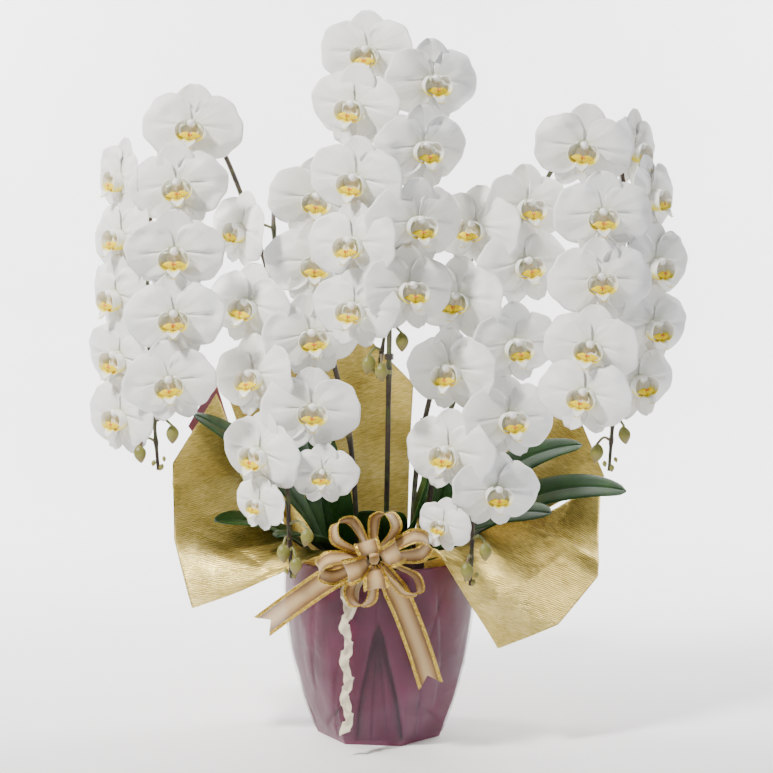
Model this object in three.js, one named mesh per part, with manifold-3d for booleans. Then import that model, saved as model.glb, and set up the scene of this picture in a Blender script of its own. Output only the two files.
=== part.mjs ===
// A white moth orchid arranged as a gift pot: five arched flower spikes on stakes, strap leaves,
// a pot wrapped in mauve paper and clear film, a gold crepe collar and a ribbon bow.
// Millimetres, +Z up, +X to the right, front towards -Y, origin at the centre of the foot.
import * as THREE from 'three';
import { mergeVertices } from 'three/addons/utils/BufferGeometryUtils.js';
import Module from 'manifold-3d';

const wasm = await Module();
wasm.setup();

// ---- Driving dimensions ----
const clearance = 0.3; // between pieces that touch
const paperThickness = 0.8;

const potHeight = 190;
const potFootRadius = 62;
const potRimRadius = 100;
const potWall = 5;
const mossDepthBelowRim = 16;

const wrapAbovePot = 22; // top edge of the paper above the pot's rim
const wrapFootRadius = 74;
const wrapTopRadius = 112;
const wrapPleats = 9;
const wrapPleatDepth = 5;
const filmThickness = 0.6;
const filmStandOff = 0.9;
const filmLift = 5; // film hem above the surface the pot stands on
const filmAboveWrap = 9;
const collarInset = 7; // where the gold paper rises, inside the top of the wrap

const flowerWidth = 112;
const flowerStandOff = 11; // flower centre to spike, forwards
const spikeRadius = 3.3;
const pedicelRadius = 1.5;
const budLength = 21;
const stakeRadius = 2;
const clipWall = 1.2;
const clipHeight = 7;

const leafThickness = 2.2;
const ribbonWidth = 27;
const ribbonThickness = 0.8;
const notchDepth = 12; // of the V at the end of a tail
const streamerWidth = 13;

// ---- Small helpers ----
const deg = Math.PI / 180;
const vec = (x, y, z) => new THREE.Vector3(x, y, z);
const mossTop = potHeight - mossDepthBelowRim;
const wrapHeight = potHeight + wrapAbovePot;
const collarRadius = wrapTopRadius - collarInset;
const filmFront = wrapTopRadius + filmStandOff + filmThickness;
const overRim = (x, y, z) => vec(x, y, potHeight + z); // a point given by its height over the pot's rim
const stemFoot = mossTop + clearance + spikeRadius / 2; // the lowest point of each stem's axis

// Closed geometry from vertices and triangles.
function closedGeometry(vertices, triangles) {
  const geometry = new THREE.BufferGeometry();
  const numbers = vertices.flatMap(v => v.toArray());
  geometry.setAttribute('position', new THREE.Float32BufferAttribute(numbers, 3));
  geometry.setIndex(triangles.flat());
  return geometry;
}

// A geometry as a manifold-3d solid.
function toSolid(geometry) {
  const bare = geometry.clone();
  bare.deleteAttribute('normal');
  bare.deleteAttribute('uv');
  const merged = mergeVertices(bare, 1e-4);
  return new wasm.Manifold(new wasm.Mesh({
    numProp: 3,
    vertProperties: new Float32Array(merged.attributes.position.array),
    triVerts: new Uint32Array(merged.index.array),
  }));
}

// A manifold-3d solid as a geometry.
function fromSolid(solid) {
  const mesh = solid.getMesh();
  const geometry = new THREE.BufferGeometry();
  geometry.setAttribute('position', new THREE.BufferAttribute(new Float32Array(mesh.vertProperties), 3));
  geometry.setIndex(new THREE.BufferAttribute(new Uint32Array(mesh.triVerts), 1));
  return geometry;
}

// A round tube along a curve.
function tube(curve, radius, steps, sides) {
  const section = new THREE.Shape();
  for (let i = 0; i < sides; i++) {
    const a = (i / sides) * 2 * Math.PI;
    if (i === 0) section.moveTo(radius, 0);
    else section.lineTo(radius * Math.cos(a), radius * Math.sin(a));
  }
  section.closePath();
  return new THREE.ExtrudeGeometry(section, { extrudePath: curve, steps, bevelEnabled: false });
}

// A loft of closed rings that all have the same number of points, with its ends filled. twoFaced splits
// the quads of a flat loft alike on both of its faces, so that they stay apart where it twists.
function loft(rings, twoFaced = false) {
  const sides = rings[0].length;
  const vertices = rings.flat();
  const triangles = [];
  for (let i = 0; i < rings.length - 1; i++) {
    for (let j = 0; j < sides; j++) {
      const a = i * sides + j;
      const b = i * sides + ((j + 1) % sides);
      if (twoFaced && j >= sides / 2) triangles.push([a, b, a + sides], [b, b + sides, a + sides]);
      else triangles.push([a, b, b + sides], [a, b + sides, a + sides]);
    }
  }
  const last = (rings.length - 1) * sides;
  for (let j = 1; j < sides - 1; j++) {
    triangles.push([0, j + 1, j], [last, last + j, last + j + 1]);
  }
  return closedGeometry(vertices, triangles);
}

// A thin solid around a grid of points: rows[i][j], thickened along the surface normal.
function sheet(rows, thickness) {
  const across = rows[0].length;
  const front = [];
  const back = [];
  rows.forEach((row, i) => row.forEach((point, j) => {
    const before = rows[Math.max(i - 1, 0)][j];
    const after = rows[Math.min(i + 1, rows.length - 1)][j];
    const left = row[Math.max(j - 1, 0)];
    const right = row[Math.min(j + 1, across - 1)];
    const normal = after.clone().sub(before).cross(right.clone().sub(left)).normalize();
    front.push(point.clone().addScaledVector(normal, thickness / 2));
    back.push(point.clone().addScaledVector(normal, -thickness / 2));
  }));
  const count = front.length;
  const triangles = [];
  const at = (i, j) => i * across + j;
  const quad = (a, b, c, d) => triangles.push([a, b, c], [a, c, d]);
  for (let i = 0; i < rows.length - 1; i++) {
    for (let j = 0; j < across - 1; j++) {
      quad(at(i, j), at(i + 1, j), at(i + 1, j + 1), at(i, j + 1));
      quad(count + at(i, j), count + at(i, j + 1), count + at(i + 1, j + 1), count + at(i + 1, j));
    }
    quad(at(i + 1, 0), at(i, 0), count + at(i, 0), count + at(i + 1, 0));
    const end = across - 1;
    quad(at(i, end), at(i + 1, end), count + at(i + 1, end), count + at(i, end));
  }
  for (let j = 0; j < across - 1; j++) {
    const end = rows.length - 1;
    quad(at(0, j), at(0, j + 1), count + at(0, j + 1), count + at(0, j));
    quad(at(end, j + 1), at(end, j), count + at(end, j), count + at(end, j + 1));
  }
  return closedGeometry([...front, ...back], triangles);
}

// A smooth grid of points through a few hand-placed curves.
function smoothGrid(curves, steps, across) {
  const curveThrough = points => new THREE.CatmullRomCurve3(points, false, 'centripetal');
  const columns = curves.map(points => curveThrough(points).getPoints(across));
  return Array.from({ length: steps + 1 }, (_, i) => columns[0].map((_, j) => {
    return curveThrough(columns.map(column => column[j])).getPoint(i / steps);
  }));
}

const model = new THREE.Group();

function addPiece(name, geometry, colour, roughness, metalness = 0) {
  const material = new THREE.MeshStandardMaterial({ color: colour, roughness, metalness });
  const mesh = new THREE.Mesh(geometry, material);
  mesh.name = name;
  model.add(mesh);
  return mesh;
}

// ---- Pot, growing medium and wrapping ----
const potBase = paperThickness + clearance;
const potFloor = potBase + potWall;

// Radius of the pot's inner wall at a height.
function potInside(z) {
  const share = (z - potFloor) / (potHeight - potFloor);
  return potFootRadius - potWall + (potRimRadius - potFootRadius) * share;
}

function makePot() {
  const profile = [
    [0, potBase], [potFootRadius, potBase], [potRimRadius, potHeight],
    [potRimRadius - potWall, potHeight], [potFootRadius - potWall, potFloor], [0, potFloor],
  ];
  return new THREE.LatheGeometry(profile.map(([r, z]) => new THREE.Vector2(r, z)), 36).rotateX(Math.PI / 2);
}

function makeMoss() {
  const floor = potFloor + clearance;
  const inside = z => potInside(z) - 1.2 * clearance;
  const profile = [[0, floor], [inside(floor), floor], [inside(mossTop), mossTop], [0, mossTop]];
  return new THREE.LatheGeometry(profile.map(([r, z]) => new THREE.Vector2(r, z)), 36).rotateX(Math.PI / 2);
}

// Radius of the paper around the pot: it bellies out above the foot and is pleated lower down.
function wrapRadius(z, angle) {
  const height = THREE.MathUtils.clamp(z / wrapHeight, 0, 1);
  const belly = wrapFootRadius + (wrapTopRadius - wrapFootRadius) * (1 - (1 - height) ** 2.6);
  const phase = (angle / (2 * Math.PI)) * wrapPleats;
  const saw = Math.abs(2 * (phase - Math.floor(phase)) - 1);
  return belly - wrapPleatDepth * saw * (1 - 0.75 * height);
}

function wrapRing(z, outset, count) {
  return Array.from({ length: count }, (_, i) => {
    const angle = -(i / count) * 2 * Math.PI;
    const r = wrapRadius(z, -angle) + outset;
    return vec(r * Math.cos(angle), r * Math.sin(angle), z);
  });
}

function reversed(ring) {
  return [ring[0], ...ring.slice(1).reverse()];
}

const wrapLevels = [0, 0.06, 0.22, 0.45, 0.72, 1].map(share => share * wrapHeight);

function makeWrap() {
  const count = wrapPleats * 4;
  const heights = wrapLevels;
  const outer = heights.map(z => reversed(wrapRing(z, 0, count)));
  const inner = heights.slice(1).reverse().map(z => reversed(wrapRing(z, -paperThickness, count)));
  const floor = reversed(wrapRing(paperThickness, -paperThickness, count));
  return loft([...outer, ...inner, floor]);
}

function makeFilm() {
  const count = wrapPleats * 4;
  const heights = [filmLift, ...wrapLevels.filter(z => z > filmLift), wrapHeight + filmAboveWrap];
  const outer = heights.map(z => reversed(wrapRing(z, filmStandOff + filmThickness, count)));
  const inner = heights.map(z => reversed(wrapRing(z, filmStandOff, count))).reverse();
  const rings = [...outer, ...inner];
  const vertices = rings.flat();
  const triangles = [];
  rings.forEach((_, i) => {
    const next = (i + 1) % rings.length;
    for (let j = 0; j < count; j++) {
      const k = (j + 1) % count;
      triangles.push([i * count + j, i * count + k, next * count + k]);
      triangles.push([i * count + j, next * count + k, next * count + j]);
    }
  });
  return closedGeometry(vertices, triangles);
}

addPiece('pot', makePot(), 0xe8e4da, 0.35);
addPiece('moss', makeMoss(), 0x8a7a52, 0.95);
addPiece('mauve_wrap', makeWrap(), 0x76405c, 0.55);
addPiece('clear_film', makeFilm(), 0xd8ccd4, 0.12);

// ---- Gold crepe collar and mauve backing ----
// Point on the collar line, inside the top of the wrap.
function collar(angle, z, out = 0) {
  return vec((collarRadius + out) * Math.cos(angle * deg), (collarRadius + out) * Math.sin(angle * deg), z);
}
const collarFoot = potHeight + 4;
const collarTop = wrapHeight + filmAboveWrap + 8;
const beyond = (angle, out, height) => collar(angle, potHeight + height, out);

// A curve of a sheet: up inside the rim at an angle, then through a middle and an end point, each [angle,
// distance beyond the collar, height over the rim].
const fromCollar = (angle, middle, end) => [
  collar(angle, collarFoot), collar(angle, collarTop, 3), beyond(...middle), beyond(...end),
];

// Each sheet is given by curves that run from the rim outwards.
const papers = {
  gold_flap_left: {
    across: 7,
    curves: [
      fromCollar(176, [167.2, 48.8, 100], [168.2, 91.1, 202]),
      fromCollar(192, [177.9, 60.1, 68], [177.1, 136.3, 124]),
      fromCollar(208, [-168, 58.6, 36], [-172.8, 132.9, 42]),
      fromCollar(226, [-145.5, 50.3, 22], [-161.7, 118.3, -30]),
      fromCollar(243, [-122, 16, 40], [-133, 34, 22]),
    ],
  },
  gold_sheet_back: {
    across: 7,
    curves: [
      fromCollar(172, [160.6, 51.9, 110], [161.6, 91.1, 215]),
      fromCollar(146, [141.8, 50.2, 140], [142.9, 70.6, 288]),
      fromCollar(120, [120.5, 36.7, 150], [121.7, 54.8, 310]),
      fromCollar(96, [95.2, 27.5, 140], [98.7, 40.7, 265]),
      fromCollar(72, [74.1, 26, 120], [73.8, 38.7, 202]),
    ],
  },
  gold_sheet_right: {
    across: 7,
    curves: [
      fromCollar(66, [60.2, 35.7, 110], [49.8, 65.3, 182]),
      fromCollar(46, [40.9, 53.8, 90], [31.6, 108.7, 176]),
      fromCollar(30, [26.6, 69.4, 72], [19.7, 149.9, 162]),
      fromCollar(16, [17.2, 70.9, 50], [13.5, 168.6, 100]),
    ],
  },
  gold_flap_right: {
    across: 7,
    curves: [
      fromCollar(10, [10.8, 76.2, 40], [8.7, 160, 60]),
      fromCollar(-8, [-4.6, 69.6, 26], [-4.6, 145.8, -6]),
      fromCollar(-26, [-21.4, 64.7, 10], [-20.8, 109, -48]),
      fromCollar(-44, [-41.4, 52.3, 14], [-40.8, 69.4, -66]),
      fromCollar(-62, [-61, 10, 46], [-58, 17, 42]),
    ],
  },
  mauve_backing: {
    across: 5,
    curves: [
      [beyond(154.1, 46.2, 72), beyond(156.2, 78.6, 130), beyond(157.8, 106.7, 214)],
      [beyond(162.3, 52.5, 60), beyond(165.3, 91.5, 110), beyond(167, 126.9, 162)],
    ],
  },
};
for (const [name, { curves, across }] of Object.entries(papers)) {
  const steps = 2 * (curves.length - 1) + 2;
  const mauve = name === 'mauve_backing';
  const geometry = sheet(smoothGrid(curves, steps, across), paperThickness);
  addPiece(name, geometry, mauve ? 0x7a4560 : 0xb08d3c, 0.4, mauve ? 0 : 0.7);
}

// ---- Flower spikes ----
// One flower faces -Y about its own centre: a five-lobed outline in polar form, pulled out to a lip in front.
const lobes = [
  { at: 90, length: 0.44, spread: 42, curl: 0.07 }, // dorsal sepal
  { at: 0, length: 0.5, spread: 80, curl: 0.03 }, // petals
  { at: 180, length: 0.5, spread: 80, curl: 0.03 },
  { at: 298, length: 0.46, spread: 42, curl: 0.07 }, // lateral sepals
  { at: 242, length: 0.46, spread: 42, curl: 0.07 },
];

function flowerGeometry(width) {
  const rimCount = 24;
  const rim = [];
  for (let i = 0; i < rimCount; i++) {
    const angle = (i / rimCount) * 360;
    let reach = 0.16;
    let curl = 0.01;
    for (const lobe of lobes) {
      const turn = Math.abs(((angle - lobe.at + 540) % 360) - 180) / lobe.spread;
      const length = lobe.length * (1 - turn ** 3);
      if (turn < 1 && length > reach) {
        reach = length;
        curl = lobe.curl * (1 - turn);
      }
    }
    rim.push(vec(reach * width * Math.cos(angle * deg), curl * width, reach * width * Math.sin(angle * deg)));
  }
  const inner = [];
  for (let i = 0; i < rimCount / 2; i++) {
    const angle = (i / (rimCount / 2)) * 2 * Math.PI;
    inner.push(vec(0.1 * width * Math.cos(angle), -0.015 * width, 0.1 * width * Math.sin(angle)));
  }
  const lip = rimCount + inner.length;
  const vertices = [...rim, ...inner, vec(0, -0.15 * width, -0.06 * width), vec(0, 0.025 * width, 0)];
  const triangles = [];
  for (let i = 0; i < inner.length; i++) {
    const a = rimCount + i;
    const b = rimCount + ((i + 1) % inner.length);
    const outer = [2 * i, 2 * i + 1, (2 * i + 2) % rimCount];
    triangles.push([a, outer[0], outer[1]], [a, outer[1], b], [b, outer[1], outer[2]], [lip, a, b]);
    triangles.push([lip + 1, outer[1], outer[0]], [lip + 1, outer[2], outer[1]]);
  }
  return closedGeometry(vertices, triangles);
}

// A point of a hanging part, given by how far it is ahead of the film's front.
const hanging = (x, ahead, z) => overRim(x, -filmFront - ahead, z);

// facing: degrees a spike is turned to the left. stem rises from the pot, arch bends over and hangs.
// flowers, from the top of each row down: height over the rim, how far aside of the spike (minus is left),
// degrees the flower is turned to the left, and its size as a share of flowerWidth.
const spikes = [
  {
    facing: 36,
    stem: [vec(-46, 14, stemFoot), overRim(-60, 34, 140), overRim(-132, 52, 350), overRim(-186, 44, 492)],
    arch: [
      overRim(-218, 2, 534), hanging(-240, -67.5, 500), hanging(-254, -41.5, 410), hanging(-256, -21.5, 310),
      hanging(-250, -5.5, 210),
    ],
    tip: hanging(-244, 2.5, 136),
    flowers: [
      [456, -42, 58, 0.96], [392, -32, 50, 1], [326, -38, 48, 0.98], [259, -36, 43, 1], [195, -40, 42, 0.95],
      [513, 43, 3, 1], [449, 44, 2, 1], [376, 49, 1, 1.02], [308, 49, 2, 1], [237, 37, 3, 0.97],
    ],
    buds: [hanging(-228, 4.5, 176), hanging(-264, 2.5, 154)],
  },
  {
    facing: 8,
    stem: [vec(-26, -12, stemFoot), overRim(-34, 30, 140), overRim(-72, 40, 310), overRim(-98, 30, 410)],
    arch: [
      overRim(-112, -2, 450), hanging(-119, -73.5, 420), hanging(-114, -51.5, 340), hanging(-109, -27.5, 240),
      hanging(-103, -5.5, 140),
    ],
    tip: hanging(-98, 8.5, 16),
    flowers: [
      [399, -35, 50, 0.92], [316, -32, 30, 1], [239, -30, 34, 1], [155, -28, 40, 1], [100, -31, 38, 0.66],
      [433, 47, -12, 0.98], [363, 45, -8, 1], [284, 37, -12, 1], [203, 33, -10, 1], [134, 42, 6, 0.72],
    ],
    buds: [hanging(-106, 18.5, 46), hanging(-80, 20.5, 64), hanging(-92, 28.5, 34)],
  },
  {
    facing: 0,
    stem: [vec(6, 10, stemFoot), overRim(10, 36, 210), overRim(12, 42, 410), overRim(12, 38, 540)],
    arch: [
      overRim(12, -4, 598), hanging(14, -53.5, 572), hanging(14, -17.5, 490), hanging(12, 2.5, 400),
      hanging(8, 14.5, 310),
    ],
    tip: hanging(-2, 18.5, 240),
    flowers: [
      [595, -27, 18, 0.96], [535, -42, 27, 1], [456, -39, 26, 1], [387, -41, 28, 1], [318, -36, 24, 0.96],
      [562, 44, -26, 1], [490, 34, -28, 1], [410, 29, -28, 1.02], [339, 22, -30, 1],
    ],
    buds: [hanging(24, 24.5, 280), hanging(-12, 30.5, 256), hanging(2, 34.5, 248)],
  },
  {
    facing: -2,
    stem: [vec(34, -8, stemFoot), overRim(46, 30, 140), overRim(90, 42, 310), overRim(120, 32, 402)],
    arch: [
      overRim(132, -4, 446), hanging(134, -69.5, 416), hanging(124, -45.5, 340), hanging(114, -23.5, 240),
      hanging(106, -3.5, 140),
    ],
    tip: hanging(100, 10.5, 8),
    flowers: [
      [402, -27, 30, 1], [324, -35, 28, 1], [246, -37, 32, 1], [158, -32, 30, 1], [78, -34, 34, 0.64],
      [425, 30, -28, 1], [362, 34, -24, 1], [274, 32, -26, 1], [194, 32, -24, 1], [115, 23, -20, 0.92],
    ],
    buds: [hanging(116, 20.5, 48), hanging(96, 22.5, 26)],
  },
  {
    facing: -36,
    stem: [vec(48, 20, stemFoot), overRim(70, 42, 140), overRim(150, 58, 350), overRim(204, 46, 470)],
    arch: [
      overRim(238, 2, 508), hanging(262, -61.5, 484), hanging(274, -33.5, 410), hanging(272, -11.5, 310),
      hanging(258, 2.5, 210),
    ],
    tip: hanging(252, 8.5, 136),
    flowers: [
      [490, -52, 2, 1.02], [418, -46, 0, 1], [348, -51, -2, 1], [277, -56, 20, 0.96], [226, -55, 25, 0.96],
      [488, 22, -57, 0.96], [436, 30, -58, 1], [362, 29, -45, 1], [295, 31, -40, 1], [235, 21, -32, 0.96],
    ],
    buds: [hanging(268, 12.5, 176), hanging(238, 10.5, 156)],
  },
];

const spikePoints = spike => [...spike.stem, ...spike.arch, spike.tip];
const spikeCurve = spike => new THREE.CatmullRomCurve3(spikePoints(spike), false, 'centripetal');

// Point on the hanging part of a spike at a height.
function hangingPoint(curve, height) {
  let near = topShare(curve);
  let far = 1;
  for (let i = 0; i < 30; i++) {
    const middle = (near + far) / 2;
    if (curve.getPoint(middle).z > height) near = middle;
    else far = middle;
  }
  return curve.getPoint(near);
}

// Share of the curve at which it is highest.
function topShare(curve) {
  let best = 0;
  for (let t = 0; t <= 1; t += 0.01) {
    if (curve.getPoint(t).z > curve.getPoint(best).z) best = t;
  }
  return best;
}

function pedicel(from, to, rise) {
  const middle = from.clone().lerp(to, 0.5).add(vec(0, 0, rise));
  return tube(new THREE.QuadraticBezierCurve3(from, middle, to), pedicelRadius, 2, 5);
}

function makeSpray(spike) {
  const curve = spikeCurve(spike);
  const pieces = [toSolid(tube(curve, spikeRadius, 28, 6))];
  const forward = vec(-Math.sin(spike.facing * deg), -Math.cos(spike.facing * deg), 0);
  const sideways = vec(Math.cos(spike.facing * deg), -Math.sin(spike.facing * deg), 0);
  for (const [height, aside, turned, size] of spike.flowers) {
    const level = Math.min(potHeight + height, curve.getPoint(topShare(curve)).z - 14);
    const foot = hangingPoint(curve, level);
    const centre = foot.clone().addScaledVector(sideways, aside).addScaledVector(forward, flowerStandOff);
    centre.z = potHeight + height;
    const turn = turned * deg;
    const width = flowerWidth * size;
    const flower = flowerGeometry(width).rotateZ(-turn).translate(...centre);
    const behind = vec(Math.sin(turn), Math.cos(turn), 0);
    pieces.push(toSolid(flower));
    pieces.push(toSolid(pedicel(foot, centre.clone().addScaledVector(behind, -0.03 * width), 4)));
  }
  spike.buds.forEach(bud => {
    const foot = hangingPoint(curve, Math.max(bud.z + 8, spike.tip.z + 6));
    const shape = new THREE.IcosahedronGeometry(budLength / 2, 0).scale(0.72, 0.72, 1).translate(...bud);
    pieces.push(toSolid(shape), toSolid(pedicel(foot, bud.clone().add(vec(0, 0, budLength * 0.3)), 6)));
  });
  return fromSolid(wasm.Manifold.union(pieces));
}

// A stake stands behind the rising part of each spike and follows its bend.
const stakeGap = spikeRadius + stakeRadius + 1.2;
const stakeShare = 0.31; // how far along the spike its stake reaches

function stakeCurve(spike) {
  const curve = spikeCurve(spike);
  const behind = vec(0, stakeGap, 0);
  const points = Array.from({ length: 13 }, (_, i) => curve.getPoint(stakeShare * i / 12).add(behind));
  return new THREE.CatmullRomCurve3(points, false, 'centripetal');
}

// A clip around a stem and its stake, like a belt over two pulleys.
function makeClip(spike, share) {
  const at = stakeCurve(spike).getPoint(share).sub(vec(0, stakeGap, 0));
  const along = stakeCurve(spike).getTangent(share);
  const apart = vec(0, stakeGap, 0).addScaledVector(along, -along.y * stakeGap);
  const outline = room => {
    const points = [];
    for (let i = 0; i <= 4; i++) {
      const a = (0.5 + i / 4) * Math.PI;
      points.push(new THREE.Vector2((spikeRadius + room) * Math.cos(a), (spikeRadius + room) * Math.sin(a)));
    }
    for (let i = 0; i <= 4; i++) {
      const a = (-0.5 + i / 4) * Math.PI;
      const r = stakeRadius + room;
      points.push(new THREE.Vector2(apart.length() + r * Math.cos(a), r * Math.sin(a)));
    }
    return points;
  };
  const room = 3 * clearance;
  const belt = new THREE.Shape(outline(room + clipWall));
  belt.holes.push(new THREE.Path(outline(room)));
  const geometry = new THREE.ExtrudeGeometry(belt, { depth: clipHeight, bevelEnabled: false });
  geometry.translate(0, 0, -clipHeight / 2);
  const xAxis = apart.clone().normalize();
  const yAxis = along.clone().cross(xAxis);
  return geometry.applyMatrix4(new THREE.Matrix4().makeBasis(xAxis, yAxis, along).setPosition(at));
}

const clipShares = [0.42, 0.8];
spikes.forEach((spike, i) => {
  const plant = i + 1;
  addPiece(`flower_spray_${plant}`, makeSpray(spike), 0xf4f3ee, 0.5);
  addPiece(`stake_${plant}`, tube(stakeCurve(spike), stakeRadius, 12, 6), 0x2a221c, 0.6);
  clipShares.forEach((share, k) => {
    addPiece(`clip_${plant}_${k + 1}`, makeClip(spike, share), 0x3a3026, 0.5);
  });
});

// ---- Leaves ----
// plant: whose foot the leaf grows from. toward: heading in degrees, 0 to the right and 270 to the front.
// lift: how steeply it starts. droop: how far it has bent down by its tip. from: how far out its foot is.
// roll: degrees the blade is rolled about its midrib.
const leaves = [
  { plant: 0, toward: 206, lift: 54, droop: 62, length: 176, width: 50, roll: -14 },
  { plant: 0, toward: 183, lift: 68, droop: 46, length: 252, width: 50, roll: -20 },
  { plant: 0, toward: 120, lift: 76, droop: 26, length: 160, width: 46, from: 26 },
  { plant: 1, toward: 228, lift: 58, droop: 66, length: 150, width: 56 },
  { plant: 1, toward: 228, lift: 80, droop: 18, length: 212, width: 40, from: 13 },
  { plant: 2, toward: 266, lift: 74, droop: 66, length: 142, width: 58 },
  { plant: 2, toward: 311, lift: 72, droop: 16, length: 204, width: 60, roll: 48, from: 29 },
  { plant: 3, toward: 280, lift: 56, droop: 66, length: 94, width: 52 },
  { plant: 3, toward: 332, lift: 50, droop: 56, length: 196, width: 56, roll: 20 },
  { plant: 3, toward: 16, lift: 74, droop: 34, length: 206, width: 50, roll: 38, from: 34 },
  { plant: 4, toward: 354, lift: 52, droop: 66, length: 266, width: 60, roll: 22 },
  { plant: 4, toward: 4, lift: 66, droop: 66, length: 244, width: 56, roll: 22 },
  { plant: 4, toward: 66, lift: 76, droop: 26, length: 156, width: 46, from: 26 },
];
const crownRadius = 11; // leaf foot to the middle of its plant
const leafStack = 10; // each leaf of a plant leaves its crown this much above the one before
const leafSteps = 9;

// Half width of a leaf along its length, as a share: a narrow foot, broadest past the middle, a blunt tip.
function leafTaper(t) {
  const swell = 0.3 + 0.7 * Math.sin(Math.min(t / 0.58, 1) * Math.PI / 2);
  const tip = t > 0.58 ? Math.sqrt(Math.max(1 - ((t - 0.58) / 0.42) ** 2.4, 0)) : 1;
  return Math.max(swell * tip, 0.08);
}

function makeLeaf(leaf, nth) {
  const out = vec(Math.cos(leaf.toward * deg), Math.sin(leaf.toward * deg), 0);
  const side = vec(-out.y, out.x, 0);
  const foot = spikes[leaf.plant].stem[0];
  const point = vec(foot.x, foot.y, mossTop + clearance + leafThickness + nth * leafStack);
  point.addScaledVector(out, leaf.from ?? crownRadius);
  const rings = [];
  for (let i = 0; i <= leafSteps; i++) {
    const t = i / leafSteps;
    const slope = (leaf.lift - leaf.droop * t ** 1.4) * deg;
    const along = out.clone().multiplyScalar(Math.cos(slope)).add(vec(0, 0, Math.sin(slope)));
    const up = out.clone().multiplyScalar(-Math.sin(slope)).add(vec(0, 0, Math.cos(slope)));
    const across = side.clone();
    const roll = (leaf.roll ?? 0) * Math.min(2.5 * t, 1) * deg;
    up.applyAxisAngle(along, roll);
    across.applyAxisAngle(along, roll);
    const half = (leaf.width / 2) * leafTaper(t);
    const channel = 0.34 * half * (1 - 0.7 * t);
    const edge = sign => point.clone().addScaledVector(across, sign * half).addScaledVector(up, channel);
    const rib = sign => point.clone().addScaledVector(up, sign * leafThickness / 2);
    rings.push([edge(1), rib(1), edge(-1), rib(-1)]);
    point.addScaledVector(along, leaf.length / leafSteps);
  }
  return loft(rings, true);
}

leaves.forEach((leaf, i) => {
  const nth = leaves.slice(0, i).filter(other => other.plant === leaf.plant).length;
  addPiece(`leaf_${String(i + 1).padStart(2, '0')}`, makeLeaf(leaf, nth), 0x1f4a24, 0.35);
});

// ---- Bow ----
const tailDepth = -(filmFront + 3); // the tails and streamer hang just in front of the film
const streamerDepth = tailDepth - 3;
const loopDepth = tailDepth - 6 - ribbonWidth / 2; // middle of the ring of loops
const knot = overRim(-6, loopDepth, 42);
const knotRadius = 0.22 * ribbonWidth;

// A ribbon along a path: wide gives its width direction, widthAt its width as a share along it.
function ribbon(path, steps, wide, widthAt, thickness) {
  const rings = [];
  for (let i = 0; i <= steps; i++) {
    const t = i / steps;
    const point = path.getPoint(t);
    const across = wide(t).normalize();
    const face = path.getTangent(t).cross(across).normalize();
    const corner = (a, b) => point.clone()
      .addScaledVector(across, a * widthAt(t) / 2)
      .addScaledVector(face, b * thickness / 2);
    rings.push([corner(-1, -1), corner(1, -1), corner(1, 1), corner(-1, 1)]);
  }
  return loft(rings);
}

// A loop leaves the knot along out, swells by bulge to each side and comes back, rolled about out.
function makeLoop({ start, out, wide, reach, bulge, roll }) {
  wide.applyAxisAngle(out, roll * deg);
  const lift = out.clone().cross(wide).normalize();
  const at = (far, aside) => start.clone()
    .addScaledVector(out, far * reach * ribbonWidth)
    .addScaledVector(lift, aside * bulge * ribbonWidth);
  const path = new THREE.CatmullRomCurve3([
    at(0, 0.07), at(0.42, 0.4), at(0.78, 0.5), at(1, 0), at(0.78, -0.5), at(0.42, -0.4), at(0, -0.07),
  ], false, 'centripetal');
  const widthAt = t => ribbonWidth * (0.34 + 0.66 * Math.sin(Math.PI * t) ** 0.8);
  return ribbon(path, 14, () => wide.clone(), widthAt, ribbonThickness);
}

// Loops that spread around the knot, then loops that stand forwards from its face. reach and bulge are
// multiples of the ribbon's width.
const ringLoops = [
  { turn: 138, reach: 1.74, bulge: 1, roll: 34 }, { turn: 72, reach: 1.56, bulge: 0.96, roll: -32 },
  { turn: 16, reach: 2, bulge: 0.93, roll: 30 }, { turn: 322, reach: 2, bulge: 0.78, roll: -26 },
  { turn: 250, reach: 1.78, bulge: 0.96, roll: 30 }, { turn: 194, reach: 2, bulge: 0.89, roll: -30 },
];
const faceLoops = [
  { turn: 28, tilt: 46, reach: 1.04, bulge: 0.63 }, { turn: 110, tilt: 50, reach: 0.81, bulge: 0.48 },
  { turn: 198, tilt: 46, reach: 1.11, bulge: 0.59 }, { turn: 276, tilt: 48, reach: 0.96, bulge: 0.63 },
];
ringLoops.forEach(({ turn, reach, bulge, roll }, i) => {
  const out = vec(Math.cos(turn * deg), 0, Math.sin(turn * deg));
  const start = knot.clone().addScaledVector(out, ribbonWidth / 3);
  const geometry = makeLoop({ start, out, wide: vec(0, 1, 0), reach, bulge, roll });
  addPiece(`bow_loop_${i + 1}`, geometry, 0xe6c79c, 0.45);
});
faceLoops.forEach(({ turn, tilt, reach, bulge }, i) => {
  const flat = vec(Math.cos(turn * deg), 0, Math.sin(turn * deg));
  const out = flat.clone().multiplyScalar(Math.cos(tilt * deg)).add(vec(0, -Math.sin(tilt * deg), 0));
  const wide = vec(-flat.z, 0, flat.x);
  const start = knot.clone().add(vec(0, -ribbonWidth / 2 - 3, 0)).addScaledVector(flat, ribbonWidth / 3);
  const geometry = makeLoop({ start, out, wide, reach, bulge, roll: 0 });
  addPiece(`bow_loop_${ringLoops.length + i + 1}`, geometry, 0xe6c79c, 0.45);
});

function makeKnot() {
  const band = new THREE.Shape();
  band.absarc(0, 0, knotRadius, 0, 2 * Math.PI);
  const options = { depth: ribbonWidth, bevelEnabled: false, curveSegments: 10 };
  const geometry = new THREE.ExtrudeGeometry(band, options);
  return geometry.translate(0, 0, -ribbonWidth / 2).rotateX(Math.PI / 2).translate(...knot);
}
addPiece('bow_knot', makeKnot(), 0xd8b888, 0.45);

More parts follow.
